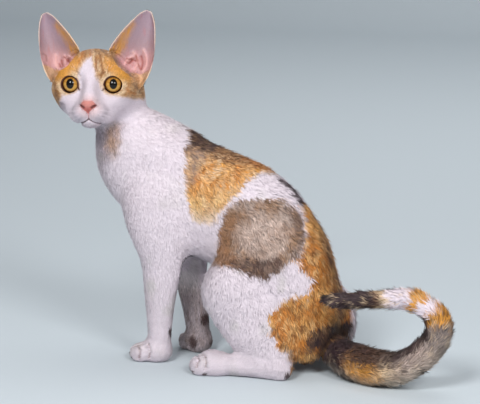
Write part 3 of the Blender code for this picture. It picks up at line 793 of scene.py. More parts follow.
# middle line of an ear's cup: height, left and forward in the head's millimetres
CUP_LINE = ([5, 22, 37.5, 52, 65, 73], [37, 38, 41, 46.5, 51, 53], [-12, -13, -16, -20, -25, -29])


def ear_inside(face, facing):
    """How much a point lies in the mouth of an ear: inside its outline, and either facing the cup's middle
    line or clearly ahead of the ear's sheet."""
    mouths = [inside(face[:, 1:], mouth, 1.2) for mouth in EAR_MOUTHS.values()]
    middle = np.stack([np.interp(face[:, 2], CUP_LINE[0], line) for line in CUP_LINE[2:0:-1]], axis=1)
    middle[:, 1] *= np.sign(face[:, 1])
    shown = soft_step(-0.6, -0.3, (unit(middle - face[:, :2]) * (facing @ HEAD_AXES)[:, :2]).sum(1))
    for side, mouth in zip(EAR_MOUTHS, mouths):
        chosen = np.flatnonzero(mouth > 0)
        ahead = face[chosen, 0] - sheet_front(side, face[chosen, 1:])
        ahead += 2.4 * soft_step(44, 36, face[chosen, 2])
        shown[chosen] = np.maximum(shown[chosen], soft_step(0.2, 1.0, ahead))
    return np.maximum(*mouths) * shown * soft_step(6, -2, face[:, 0])


def raised_folds(points, normals):
    """Lifts the ridges in the ears out towards the front and presses the furrows in."""
    face = in_head(points)
    lift = sum(height * stroke(face[:, 1:], path, width) for path, width, height in EAR_FOLDS)
    for path in EAR_POCKETS:
        lift = lift - stroke(face[:, 1:], path, POCKET_WIDTH)
    return points + HEAD_AXES[:, 0] * (lift * ear_inside(face, normals))[:, None]


# %% Toes
# middle of the foot, way its toes point in degrees, reach of the toes, width of a toe
PAWS = [
    ((-86, -22.5), 180, 14, 6.5), ((-56.5, 29), 137, 13, 6.5),
    ((-13, -51.5), 177, 12, 6.8), ((6, 51.5), 183, 12, 6.8),
]
# furrows between the toes as they show from the side, on the near paws
TOE_LINES = [
    [(148.5, 343), (150.5, 349), (150, 357)], [(138.5, 346), (141, 351), (139.5, 358)],
    [(197, 354), (199.5, 360), (197.5, 367)], [(205, 355), (207, 362), (205.5, 369)],
]
TOE_GAP_WIDTH = 1.4
TOE_GAP_DEPTH = 2.2


def toe_parting(points):
    """Strength of the furrows between the toes: at the front of each paw, and at the near paws' sides."""
    low = soft_step(26, 20, points[:, 2]) * (points[:, 1] < -14)
    view = side_view(points)
    parting = sum(stroke(view, path, 1.0) for path in TOE_LINES) * low
    for middle, turn, reach, width in PAWS:
        ahead = np.array([math.cos(math.radians(turn)), math.sin(math.radians(turn))])
        offset = points[:, :2] - middle
        forwards = offset @ ahead
        sideways = offset @ np.array([-ahead[1], ahead[0]])
        furrow = sum(np.exp(-(((sideways - k * width) / TOE_GAP_WIDTH) ** 2)) for k in (-1, 0, 1))
        near = soft_step(reach - 11, reach - 2, forwards) * (forwards < 40) * (np.abs(sideways) < 15)
        parting = np.maximum(parting, furrow * near * soft_step(24, 20, points[:, 2]))
    return parting


points, normals = mesh_arrays(skin.data)
points = points - normals * TOE_GAP_DEPTH * toe_parting(points)[:, None]
place_points(skin.data, raised_folds(carved_face(points, normals), normals))

# %% [markdown]
# ## Markings
#
# The coat is a calico's: white, with ginger, grey and near-black patches. Every patch is drawn once as an
# outline in the side view from the camera, where a millimetre is a pixel of the photograph's frame. Soft
# noise shakes the outlines, because hairs of two colours mix where patches meet. The far side of the body
# is folded over onto the near side and moved a little, so that the patches there are alike but not a copy.
# Skin and coat both read their colours from this one function.
# A few places also get painted shade as colour: under the jaw, on the chin and on the far foreleg.

# %% Colours of the coat
def shade(red, green, blue):
    """A colour as the screen shows it, turned into the linear light that materials use."""
    value = np.array([red, green, blue], float) / 255
    return np.where(value <= 0.04045, value / 12.92, ((value + 0.055) / 1.055) ** 2.4)


WHITE = shade(232, 218, 227)
CREAM = shade(226, 196, 160)
GINGER = shade(212, 146, 58)
DEEP_GINGER = shade(186, 107, 32)
BROWN = shade(118, 84, 62)
DARK = shade(54, 35, 38)
GREY = shade(176, 156, 146)
PINK = shade(196, 124, 115)
EAR_PINK = shade(166, 138, 146)
FOLD_RED = shade(150, 74, 66)
FOLD_PALE = shade(232, 178, 172)
RIM = shade(72, 32, 20)
STRIPE = shade(140, 88, 44)
UMBER = shade(88, 62, 52)


def painted(under, colour, amount):
    """Lays a colour over another by an amount from 0 to 1."""
    return under + (colour - under) * np.clip(amount, 0, 1)[:, None]


def layered(colour, *layers):
    """Lays colours one after another over the first, each by its own amount."""
    for tint, amount in layers:
        colour = painted(colour, tint, amount)
    return colour


def oval(view, middle, radii):
    """Distance from an oval's middle, where its edge is at 1."""
    return np.linalg.norm((view - middle) / radii, axis=1)


def shaken(points, size, seed, reach):
    """A small move in the side view that neighbours share."""
    return reach * np.column_stack([soft_noise(points, size, seed), soft_noise(points, size, seed + 1)])


# Outlines of the patches in the side view, and of the painted shadow under the jaw
SHOULDER_PATCH = [
    (185, 118), (206, 130), (230, 142), (258, 152), (276, 164), (270, 172), (258, 170), (247, 177),
    (237, 188), (226, 198), (219, 206), (216, 214), (206, 222), (192, 220), (187, 208), (184, 190),
    (184, 160), (186, 135),
]
SHOULDER_DARK = [(184, 118), (200, 128), (218, 142), (212, 149), (203, 152), (194, 146), (186, 148)]
SHOULDER_GREY = [(184, 142), (206, 146), (204, 158), (198, 168), (192, 180), (185, 186)]
SPINE_STRIPE = [
    (268, 158), (284, 166), (300, 182), (314, 196), (322, 214), (314, 213), (304, 207), (297, 201),
    (290, 194), (283, 187), (276, 178), (270, 170),
]
FLANK_PATCH = [
    (221, 212), (225, 204), (233, 199), (246, 198), (262, 198), (278, 198), (290, 203), (298, 211),
    (301, 222), (301, 236), (297, 248), (291, 258), (284, 263), (275, 268), (264, 274), (250, 272),
    (236, 269), (230, 263), (217, 262), (216, 250), (218, 238), (218, 224),
]
FLANK_HEART = [
    (236, 226), (246, 217), (262, 212), (278, 217), (285, 232), (280, 247), (266, 254), (248, 252),
    (236, 242),
]
FLANK_HEM = [(228, 258), (246, 255), (262, 257), (282, 252), (284, 262), (264, 275), (248, 274), (230, 267)]
FLANK_FRONT = [
    (217, 228), (226, 214), (236, 210), (232, 226), (229, 242), (234, 256), (238, 266), (217, 263),
    (215, 246),
]
FLANK_BACK = [(282, 204), (296, 206), (303, 222), (300, 246), (292, 254), (288, 240), (290, 224)]
RUMP = [
    (297, 203), (310, 198), (320, 196), (335, 220), (350, 262), (364, 300), (372, 340), (366, 372),
    (330, 384), (292, 380), (290, 364), (287, 352), (279, 343), (272, 331), (268, 320), (269, 311),
    (275, 303), (284, 296), (296, 291), (308, 291), (312, 283), (310, 272), (300, 263), (293, 258),
    (300, 246), (304, 232), (303, 216),
]
RUMP_DARK = [
    (318, 226), (330, 232), (346, 262), (354, 300), (350, 330), (340, 326), (334, 300), (328, 262),
    (318, 240),
]
THIGH_DARK = [
    (302, 345), (306, 333), (314, 325), (324, 320), (336, 318), (350, 322), (362, 334), (352, 336),
    (340, 336), (330, 339), (320, 342), (312, 346), (305, 350),
]
TAIL_ROOT_DARK = [
    (320, 362), (326, 348), (336, 338), (352, 338), (368, 344), (388, 350), (392, 354), (374, 359),
    (360, 360), (350, 362), (340, 362), (332, 368), (324, 374),
]
# painted shadow under the jaw, grey-lilac on the top of the neck
JAW_PAINTED_SHADOW = [
    (92, 126), (104, 124), (118, 117), (128, 122), (120, 132), (108, 152), (102, 168), (98, 150), (94, 138),
]
SHOULDER_TOP = [(206, 132), (240, 140), (280, 158), (270, 170), (250, 166), (226, 162), (206, 158)]
SHOULDER_BACK = [(236, 140), (280, 160), (268, 172), (240, 158)]


def far_side_folded(points):
    """Points of the far side mirrored to the near side, and moved forwards, more if they are further out."""
    folded = points.copy()
    out = soft_step(4, 30, points[:, 1])
    folded[:, 1] = -np.abs(points[:, 1])
    folded[:, 0] -= 16 * out
    folded[:, 2] += 10 * out
    return folded


def body_colour(points):
    """Colours of trunk, legs and haunches, with painted shade under the jaw and on the far foreleg."""
    view = side_view(far_side_folded(points)) + (shaken(points, 5, 1, 2.4) + shaken(points, 1.6, 3, 1.5))
    streak = soft_noise(points * [1, 1, 0.35], 2.2, 5)
    wave = soft_noise(points, 9, 6)
    ripple = soft_step(0.2, 0.02, np.abs(soft_noise(points * [1, 1, 0.45], 6, 8)))
    near_floor = soft_step(24, 40, points[:, 2])

    def area(outline, edge, amount=1.0, streaked=0.0):
        """Amount of a colour inside an outline, more or less where the hair is streaked."""
        return inside(view, outline, edge) * (amount + streaked * streak)

    patch = area(SHOULDER_PATCH, 1.8) * soft_step(222, 196, view[:, 1] + 5 * wave)
    colour = layered(
        np.tile(WHITE, (len(points), 1)),
        (shade(214, 206, 204), 0.6 * soft_step(0.2, 0.9, soft_noise(points, 14, 7)) + 0.1),
        (CREAM, area(SHOULDER_PATCH, 3, 0.8)),
        (GINGER, patch * (0.8 + 0.25 * streak)),
        (DEEP_GINGER, patch * soft_step(0.0, 0.6, streak + 0.6 * wave) * 0.6),
        (BROWN, patch * area(SHOULDER_TOP, 4) * (0.75 + 0.4 * streak)),
        (CREAM, patch * soft_step(0.35, 0.9, -streak - 0.4 * wave) * 0.5),
        (shade(230, 192, 134), patch * soft_step(180, 205, view[:, 1]) * 0.5),
        (shade(146, 122, 108), area(SHOULDER_GREY, 4, 0.7, 0.5)),
        (DARK, area(SHOULDER_DARK, 3, 0.9, 0.2)),
        (DEEP_GINGER, patch * area(SHOULDER_BACK, 3) * 0.7),
        (DARK, area(SPINE_STRIPE, 1.6, 0.92, 0.2)),
    )

    rump = area(RUMP, 1.8) * np.maximum(near_floor, soft_step(276, 300, view[:, 0]))
    far_rear = soft_step(13, 21, points[:, 1]) * soft_step(84, 94, points[:, 0])
    far_rear *= soft_step(20, 32, points[:, 2])
    far_rear *= soft_step(112, 96, points[:, 2] + 0.6 * np.maximum(20 - points[:, 1], 0))
    colour = layered(
        colour,
        (CREAM, rump),
        (GINGER, rump * (0.82 + 0.3 * streak)),
        (DEEP_GINGER, rump * soft_step(-0.4, 0.4, streak + 0.7 * wave) * 0.75),
        (BROWN, rump * soft_step(0.3, 0.8, streak - 0.5 * wave) * 0.5),
        (shade(104, 68, 36), rump * ripple * 0.6),
        (BROWN, rump * soft_step(345, 372, view[:, 1]) * (0.55 + 0.4 * streak)),
        (DARK, area(RUMP_DARK, 3, 0.6, 0.5)),
        (DARK, area(THIGH_DARK, 2, 0.9, 0.2)),
        (DARK, area(TAIL_ROOT_DARK, 4, 1.05, 0.2)),
        (WHITE, far_rear),
    )

    flank = area(FLANK_PATCH, 1.8)
    # tan fur of the throat, deepened as painted shade under the jaw
    throat_tan_and_shade = soft_step(1.4, 0.3, oval(view, [112, 138], [8, 18]))
    # the far foreleg: its own greyish-beige, darkened further as painted shade on the side away from the
    # lamps
    far_leg_tint_and_shade = soft_step(6, 14, points[:, 1]) * soft_step(90, 60, points[:, 2])
    far_leg_tint_and_shade *= soft_step(-30, -38, points[:, 0])
    return layered(
        colour,
        (shade(150, 114, 86), flank),
        (GREY, flank * np.clip(0.5 + 0.6 * wave + 0.6 * streak, 0, 1)),
        (shade(196, 172, 160), area(FLANK_HEART, 9, 0.85, 0.2)),
        (BROWN, flank * soft_step(0.2, 0.8, streak) * 0.5),
        (BROWN, flank * ripple * 0.4),
        (shade(150, 104, 68), area(FLANK_FRONT, 4, 0.65, 0.4)),
        (UMBER, area(FLANK_HEM, 3, 0.8, 0.5)),
        (UMBER, area(FLANK_BACK, 3, 0.45, 0.7)),
        # painted shadow under the jaw
        (shade(140, 120, 130), area(JAW_PAINTED_SHADOW, 6, 0.6)),
        (shade(176, 140, 116), throat_tan_and_shade * (0.8 + 0.3 * streak)),
        (shade(152, 132, 126), far_leg_tint_and_shade * (0.7 + 0.3 * streak)),
        (shade(138, 108, 106), 0.85 * np.minimum(toe_parting(points), 1)),
        (shade(70, 44, 42), dark_pads(points)),
    )


# small dark pads and bare spots on the feet: places in the side view with their radii, on near and far feet
NEAR_PADS = [
    ((170.5, 331), (2.2, 5)), ((288.5, 373), (4, 3)), ((192.5, 372), (2.4, 1.8)),
    ((205.5, 374), (2.4, 1.6)),
]
FAR_PADS = [((204, 317), (4.5, 6)), ((194, 341), (4, 6)), ((213, 343), (3.5, 5))]


def dark_pads(points):
    """Bare dark pads: small ovals round places in the side view, each list on its own side of the cat."""
    view = side_view(points) + shaken(points, 2, 9, 0.8)
    amount = np.zeros(len(points))
    for pads, side in ((NEAR_PADS, -1), (FAR_PADS, 1)):
        for at, radii in pads:
            spot = soft_step(1.2, 0.7, oval(view, at, radii))
            amount = np.maximum(amount, spot * (points[:, 1] * side > 6) * (points[:, 2] < 60))
    return amount * (points[:, 0] < 90) * 0.9


# %% Colours of the tail
LOOP_MIDDLE = np.array([152.0, -50.0, 56.0])


def tail_place(points):
    """Distance to the tail's middle line, place along it, and how far a point faces the loop's inside."""
    nearest = np.full(len(points), np.inf)
    run = np.zeros(len(points))
    inner = np.zeros(len(points))
    start = 0.0
    for a, b in zip(TAIL_LINE, TAIL_LINE[1:]):
        length = np.linalg.norm(b - a)
        along = np.clip(((points - a) @ (b - a)) / length**2, 0, 1)
        foot = a + along[:, None] * (b - a)
        out = points - foot
        distance = np.linalg.norm(out, axis=1)
        to_middle = LOOP_MIDDLE - foot
        facing = (out * to_middle).sum(1) / (distance * np.linalg.norm(to_middle, axis=1) + 1e-9)
        closer = distance < nearest
        nearest = np.where(closer, distance, nearest)
        run = np.where(closer, start + along * length, run)
        inner = np.where(closer, facing, inner)
        start += length
    return nearest, run, inner


# millimetres along the tail, and the colour there on its outer side
TAIL_GREY = shade(142, 128, 122)
TAIL_BANDS = [
    (0, DARK), (46, DARK), (56, BROWN), (66, GINGER), (84, GINGER), (98, CREAM), (116, GREY), (144, GREY),
    (156, TAIL_GREY), (170, TAIL_GREY), (176, GINGER), (185, GINGER), (188, WHITE), (197, WHITE),
    (200, GINGER), (207, GINGER), (210, WHITE), (229, WHITE), (234, CREAM), (240, BROWN), (248, DARK),
    (294, DARK),
]


def tail_colour(points):
    """Bands along the tail, a dark inner side, and pale streaks in the lower half of the first run."""
    _, run, inner = tail_place(points)
    jitter = 4 * soft_noise(points, 6, 11) + 3 * soft_noise(points, 2, 12)
    stops, shades = zip(*TAIL_BANDS)
    colour = np.stack([np.interp(run + jitter, stops, channel) for channel in np.array(shades).T], axis=1)
    streak = soft_noise(np.column_stack([run * 0.25, points[:, 1] + points[:, 2], inner * 8]), 1.8, 13)
    white_run = soft_step(182, 188, run) * soft_step(234, 228, run)
    low = soft_step(0.1, -0.7, inner) * soft_step(170, 120, run)
    dark_side = soft_step(0.2, 0.7, inner + 0.25 * streak) * soft_step(206, 184, run)
    return layered(
        colour,
        (CREAM, soft_step(0.1, 0.8, streak) * 0.6 * soft_step(25, 50, run)),
        (DARK, soft_step(0.2, 0.8, -streak) * 0.6 * (1 - white_run)),
        (shade(214, 196, 180), low * (0.7 + 0.35 * streak)),
        (DARK, dark_side * 0.92),
    )


# %% Colours of the head
MASK_RIGHT_EYE = [
    (91.5, 40), (91.5, 56), (87, 60), (82, 64), (79.5, 70), (79, 78), (79, 87), (77, 91), (70, 94.5),
    (63, 95.5), (60, 100), (60, 106), (56, 110), (44, 100), (36, 70), (36, 30), (70, 30),
]
MASK_LEFT_EYE = [
    (91.5, 40), (91.5, 56), (93, 61), (94, 68), (96.5, 77), (99.5, 84), (102, 91), (107, 95), (116, 96.5),
    (126, 96.5), (134, 98.5), (141, 99), (148, 94), (160, 70), (164, 30), (130, 20), (100, 36),
]
# path in the side view, width, colour and amount
FACE_STRIPES = [
    ([(91, 50), (90.5, 57)], 1.5, DEEP_GINGER, 0.7),
    ([(86, 52), (85, 60)], 0.9, STRIPE, 0.7),
    ([(97.5, 62), (99.5, 74)], 1.0, CREAM, 0.5),
    ([(105, 66), (107, 76)], 1.0, CREAM, 0.5),
    ([(84, 66), (82, 76)], 1.0, CREAM, 0.4),
    ([(76, 64), (74, 72)], 1.0, CREAM, 0.4),
    ([(68, 66), (64, 76)], 1.0, CREAM, 0.4),
    ([(95, 52), (96, 62), (97.5, 72)], 0.8, STRIPE, 0.85),
    ([(99, 53), (101, 62), (102.5, 74)], 0.8, STRIPE, 0.85),
    ([(104, 58), (106, 66), (109, 73)], 0.8, STRIPE, 0.7),
    ([(114, 66), (119, 73)], 0.9, STRIPE, 0.6),
    ([(72, 52), (69, 62), (65, 70)], 0.9, STRIPE, 0.6),
    ([(101, 50), (108, 57), (117, 62), (125, 68), (130, 77)], 1.3, BROWN, 0.85),
    ([(108, 62), (110, 70)], 1.6, DEEP_GINGER, 0.7),
    ([(124, 78), (131, 83), (138, 90), (142, 97)], 1.2, BROWN, 0.6),
    ([(126, 90), (134, 95)], 1.2, DEEP_GINGER, 0.6),
    ([(84, 50), (82, 57), (78, 64)], 1.3, DEEP_GINGER, 0.7),
    ([(76, 50), (75, 58), (71, 66)], 1.4, DEEP_GINGER, 0.7),
    ([(66, 64), (60, 70), (57, 80)], 1.3, DEEP_GINGER, 0.7),
    ([(55, 80), (57, 92), (60, 102)], 1.5, BROWN, 0.7),
]


# middles of the eyes in the side view
EYE_PLACES = [(71, 85), (113, 85.5)]


def head_colour(points, normals):
    """Colours of the face, the back of the head and the ears."""
    face = in_head(points)
    view = side_view(points) + shaken(points, 3, 21, 1.2)
    front = soft_step(-34, -22, face[:, 0])
    fine = soft_noise(points * [1, 1, 0.5], 1.5, 23)
    behind = (1 - front) * soft_step(-26, -8, face[:, 2])
    mask = np.maximum(*(inside(view, outline, 2.6) for outline in (MASK_RIGHT_EYE, MASK_LEFT_EYE)))
    mask = np.maximum(mask * front, behind)
    pale = np.minimum(*(np.hypot(view[:, 0] - x, (view[:, 1] - y) * 1.05) for x, y in EYE_PLACES))
    ring = soft_step(9, 10, pale) * soft_step(14.5, 11, pale)
    from_nose = view - [95.0, 104.0]
    fan = np.column_stack([np.arctan2(*from_nose.T) * 28, np.linalg.norm(from_nose, axis=1) / 5.5, 0 * fine])
    hair = soft_noise(fan, 1.0, 26) * front * mask
    stripes = soft_step(0.2, 0.8, np.sin(face[:, 1] / 3.2 + soft_noise(points, 8, 24)))
    cheek = soft_step(1.4, 0.5, oval(view, [62.5, 106.5], [4.0, 4.5])) * front
    shadow = soft_step(1.5, 0.5, oval(view, [117, 128], [9, 6]))
    colour = layered(
        np.tile(shade(220, 206, 215), (len(points), 1)),
        (CREAM, mask),
        (shade(182, 129, 78), mask * (0.85 + 0.25 * fine) * (1 - 0.75 * ring)),
        (CREAM, soft_step(0.1, 0.8, hair) * 0.65),
        (STRIPE, soft_step(0.15, 0.8, -hair) * 0.55 * (1 - 0.6 * ring)),
        *(
            (tint, front * mask * amount * stroke(view, path, width))
            for path, width, tint, amount in FACE_STRIPES
        ),
        (DEEP_GINGER, behind * stripes * 0.6),
        (shade(134, 120, 132), cheek * (0.6 + 0.4 * fine)),
        (shade(196, 160, 128), shadow * 0.5),
    )
    colour = painted_ears(colour, points, face, view, normals)
    return painted_muzzle(colour, face)


# furry strips along the inner edges of the ears, in the side view
EAR_STRIPS = [
    [(110, 50), (122, 33), (133, 20), (135, 24), (129, 36), (125, 48), (121, 55), (112, 56)],
    [(82, 50), (68, 33), (56, 22), (55, 25), (62, 36), (68, 46), (72, 56), (80, 56)],
]
# red creases deep in the ears, in the side view, with their widths
FOLD_MARKS = [
    ([(127, 58), (131, 58.5), (132, 61.5), (129, 63.5), (126.5, 61)], 0.8),
    ([(135.5, 56), (138, 60), (138.5, 65), (140.5, 69)], 1.0),
    ([(64, 57.5), (66.5, 60), (68.5, 61.5), (71, 63)], 1.1),
    ([(58.8, 63), (60.5, 66.5)], 0.8),
]


def fold_layer(across, path, width, height):
    """Colour and amount along one ridge or furrow of an ear."""
    tint, amount = (FOLD_RED, 0.85) if height < 0 else (FOLD_PALE, 0.6)
    return tint, stroke(across, path, width) * amount


def painted_ears(colour, points, face, view, normals):
    """Ginger backs with pale roots, pink insides with red furrows, furry inner edges, and pale rims."""
    across = face[:, 1:]
    cup = ear_inside(face, normals)
    back = ear_share(face) * (1 - cup)
    pale_base = soft_step(24, 12, face[:, 2]) * soft_step(36, 42, np.abs(face[:, 1]))
    vein = soft_noise(points * [1, 1, 0.3], 3.0, 25)
    strip = np.maximum(*(inside(view, outline, 3.5) for outline in EAR_STRIPS))
    inner = layered(
        np.tile(EAR_PINK, (len(points), 1)),
        (shade(216, 160, 158), soft_step(40, 20, face[:, 2]) * 0.7),
        (shade(150, 128, 144), soft_step(38, 62, face[:, 2]) * 0.5),
        (shade(186, 116, 118), soft_step(0.3, 0.9, vein) * 0.35),
        *(fold_layer(across, *fold) for fold in EAR_FOLDS),
        *((shade(130, 92, 84), stroke(across, path, POCKET_WIDTH) * 0.5) for path in EAR_POCKETS),
        *((FOLD_RED, stroke(view, path, width) * 0.85) for path, width in FOLD_MARKS),
        (GINGER, strip * (0.75 + 0.4 * vein)),
    )
    colour = layered(colour, (GINGER, back), (shade(224, 190, 164), back * pale_base * 0.7))
    colour = colour + (inner - colour) * cup[:, None]
    return painted(colour, shade(232, 208, 186), soft_step(1.5, 0.6, edge_distance(face)) * 0.5)


NOSE_HALF_WIDTH = ([-28, -26, -23.8, -21.6, -19.6, -17.4, -15, -13], [0.5, 1.5, 4.0, 7.2, 8.2, 6.8, 4.6, 3.0])


def nose_share(face):
    """How much a point belongs to the bare nose: inside a heart that narrows to the parting under it."""
    width = np.interp(face[:, 2], *NOSE_HALF_WIDTH)
    height = soft_step(-13, -16, face[:, 2]) * soft_step(-28, -27, face[:, 2])
    return soft_step(0.9, -0.9, both_sides(face)[:, 0] - width) * height * soft_step(14, 18, face[:, 0])


def painted_muzzle(colour, face):
    """The nose's pink, the dark nostrils, parting and mouth, the dark corners of the eyes, and a painted
    shade on the chin.
    """
    folded = both_sides(face)
    front = soft_step(4, 10, face[:, 0])
    nose = nose_share(face)
    flush = soft_step(16, 5, np.linalg.norm(face - [26, 0, -20], axis=1))
    return layered(
        colour,
        # painted shade on the chin, under the mouth
        (shade(184, 170, 178), front * stroke(folded, [(0, -41), (7, -41)], 5.0) * 0.6),
        (shade(224, 190, 190), flush * 0.7),
        (PINK, nose),
        (shade(176, 84, 76), nose * soft_step(-19, -24, face[:, 2]) * 0.7),
        (shade(84, 22, 22), front * stroke(folded, NOSTRIL, 1.25)),
        (shade(176, 96, 90), front * stroke(folded, PARTING, 0.6) * 0.8),
        (shade(64, 34, 36), front * stroke(folded, MOUTH, 0.85)),
        (shade(96, 60, 40), front * stroke(folded, [(12.8, -4.2), (11.2, -5.6)], 1.2)),
    )


def coat_colour(points, normals):
    """The colour of skin and coat at any point: body, tail and head blended by where the point is."""
    face = in_head(points)
    distance, run, _ = tail_place(points)
    tail = soft_step(30, 24, distance) * soft_step(22, 34, run)
    colour = body_colour(points)
    colour += (tail_colour(points) - colour) * tail[:, None]
    return colour + (head_colour(points, normals) - colour) * head_share(face)[:, None]


def store_colour(mesh, name, colour):
    """Keeps a colour for each point in the mesh."""
    layer = mesh.color_attributes.new(name, "FLOAT_COLOR", "POINT")
    full = np.ones((len(colour), 4), np.float32)
    full[:, :3] = colour
    layer.data.foreach_set("color", full.ravel())


skin_points, skin_normals = mesh_arrays(skin.data)
store_colour(skin.data, "coat", np.clip(coat_colour(skin_points, skin_normals), 0, 1))

# %% [markdown]
# ## Finish of the skin
#
# The skin shows between the tufts, on the nose and inside the ears. It reads the markings, varies them a
# little with noise, and a finer noise bumps its surface like short flat hair.

# %% Skin material
def fur_like(name, noise_scales, bump_distance, **settings):
    """Material that reads the markings, mottles them finely and bumps the surface with noise."""
    material = principled(name, **settings)
    tree = material.node_tree
    shader = tree.nodes["Principled BSDF"]
    marks = add_node(tree, "ShaderNodeAttribute", attribute_name="coat")
    place = add_node(tree, "ShaderNodeTexCoord")
    mottle, fine = (add_node(tree, "ShaderNodeTexNoise", [("Scale", scale)]) for scale in noise_scales)
    tone = add_node(tree, "ShaderNodeMapRange", [("To Min", 0.86), ("To Max", 1.12)])
    mixed = add_node(tree, "ShaderNodeVectorMath", operation="SCALE")
    bump = add_node(tree, "ShaderNodeBump", [("Strength", 0.5), ("Distance", bump_distance)])
    for source, output, target, socket in [
        (place, "Object", mottle, "Vector"),
        (place, "Object", fine, "Vector"),
        (mottle, "Fac", tone, "Value"),
        (marks, "Color", mixed, 0),
        (tone, "Result", mixed, "Scale"),
        (mixed, "Vector", shader, "Base Color"),
        (fine, "Fac", bump, "Height"),
        (bump, "Normal", shader, "Normal"),
    ]:
        tree.links.new(source.outputs[output], target.inputs[socket])
    return material


skin_material = fur_like("cat_skin", (700, 1500), 0.0004, Roughness=0.62, Subsurface_Weight=0.08)
skin.data.materials.clear()
skin.data.materials.append(skin_material)
skin.data.shade_smooth()
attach(skin, "root")
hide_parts(*FLESH)

# %% [markdown]
# ## Eyes
#
# A cat's eye is a globe with a clear dome over a flat iris. Seen from a step away it reads as one glossy
# ball with an amber ring, so each eye is one closed surface: a circle profile with a low dome in front,
# turned round the line of sight. The iris and the pupil are painted on it by the angle and distance from
# that line, with streaks that run outwards and a dark border.
# The iris also gets painted light in its lower half and painted shade under the upper lid.

# %% Eyeballs
# how far each eye's line of sight turns outwards and down, in degrees
EYE_DIVERGE = {1: 8, -1: 4}
EYE_DROP = -5
GLOBE_RADIUS = 10.5
DOME_RISE = 0.8
IRIS_RADIUS = 8.1
PUPIL_HALF = (3.7, 4.9)
EYE_BORDER = shade(30, 14, 10)


def eye_axes(side):
    """The eye's own axes in the cat's: out through the pupil, to the cat's left, up."""
    outwards = Matrix.Rotation(math.radians(side * EYE_DIVERGE[side]), 3, "Z")
    return HEAD_AXES @ np.array(outwards @ Matrix.Rotation(math.radians(EYE_DROP), 3, "Y"))


def eye_surface(rings=96, around=128):
    """A profile turned round the x axis, with a point at each pole: points and triangles. The dome in front
    fades out at 50 degrees."""
    angle = np.linspace(0.004, math.pi - 0.004, rings)
    radius = GLOBE_RADIUS + DOME_RISE * soft_step(math.radians(50), 0, angle)
    turn = np.linspace(0, 2 * math.pi, around, endpoint=False)
    x = np.broadcast_to((radius * np.cos(angle))[:, None], (rings, around))
    y = (radius * np.sin(angle))[:, None] * np.cos(turn)
    z = (radius * np.sin(angle))[:, None] * np.sin(turn)
    points = np.stack([x, y, z], axis=2).reshape(-1, 3)
    poles = np.array([points[:around].mean(0), points[-around:].mean(0)])
    first = np.arange(around)
    after = (first + 1) % around
    last = (rings - 1) * around
    front = np.column_stack([np.full(around, len(points)), first, after])
    back = np.column_stack([np.full(around, len(points) + 1), last + after, last + first])
    faces = grid_faces(rings, around, wrap=True)[:, ::-1]
    return np.vstack([points, poles]), np.vstack([faces[:, [0, 1, 2]], faces[:, [0, 2, 3]], front, back])


def eye_colour(local):
    """Amber with outward streaks, painted light on the lower iris and painted shade under the upper lid,
    darker at the border, and a black upright pupil.
    """
    y, z = local[:, 1], local[:, 2]
    out = np.hypot(y, z)
    turn = np.arctan2(z, y)
    streak = soft_noise(np.column_stack([turn * 9, out * 0.35, 0 * out]), 1.0, 31)
    streak += 0.6 * soft_noise(np.column_stack([turn * 22, out * 0.3, 0 * out]), 1.0, 32)
    pupil = np.hypot(y / PUPIL_HALF[0], z / PUPIL_HALF[1])
    return layered(
        np.tile(shade(182, 128, 54), (len(local), 1)),
        (shade(214, 168, 84), soft_step(0.1, 1.0, streak) * 0.7),
        (shade(146, 92, 30), soft_step(0.1, 1.0, -streak) * 0.7),
        # painted light on the lower iris, where light through the clear dome would fall
        (shade(216, 176, 96), soft_step(2, -6, z) * 0.4),
        # painted shade under the upper lid
        (shade(96, 56, 22), soft_step(3.0, 8.0, z) * 0.8),
        (shade(88, 44, 16), soft_step(IRIS_RADIUS - 1.8, IRIS_RADIUS - 0.4, out) * 0.9),
        (EYE_BORDER, soft_step(IRIS_RADIUS - 0.5, IRIS_RADIUS + 0.2, out)),
        (shade(12, 9, 8), soft_step(1.12, 0.98, pupil)),
        (EYE_BORDER, (local[:, 0] < 3).astype(float)),
    )


eye_material = principled("wet_amber", Roughness=0.15, Coat_Weight=0.3, Coat_Roughness=0.03, IOR=1.25)
eye_tree = eye_material.node_tree
iris = add_node(eye_tree, "ShaderNodeAttribute", attribute_name="iris")
eye_tree.links.new(iris.outputs["Color"], eye_tree.nodes["Principled BSDF"].inputs["Base Color"])
eye_points, eye_faces = eye_surface()
for name, node, side in (("eyeball_left", "eye_left", 1), ("eyeball_right", "eye_right", -1)):
    placed = eye_points @ eye_axes(side).T + from_head([0, side * EYE_SPREAD, 0])
    eye = plain_mesh(name, (placed + SHIFT) * MM, eye_faces, eye_material)
    store_colour(eye.data, "iris", eye_colour(eye_points))
    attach(eye, "root")
    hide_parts(node)

# %% [markdown]
# ## Dark rims of the lids
#
# The edge of each lid is bare, dark skin, thicker above and drawn out to a point at the inner corner. It is
# a thin closed tube that follows the opening over the globe. Its path is a circle with a bulge towards the
# nose, and its thickness changes on the way.

# %% Lid rims
# half the width and height of each eye's opening
RIM_HALF = {1: (9.5, 9.1), -1: (8.5, 9.2)}
RIM_AWAY = 12.0
# how far the openings turn outwards and up, in degrees
OPENING_TURN, OPENING_TIP = 8, 2


def rings_across(path, first, second, radius, around):
    """Circles of points round a path, in the plane of two directions at each point."""
    turn = (np.arange(around) * 2 * math.pi / around)[None, :, None]
    circles = np.cos(turn) * first[:, None] + np.sin(turn) * second[:, None]
    return (path[:, None] + radius[:, None, None] * circles).reshape(-1, 3)


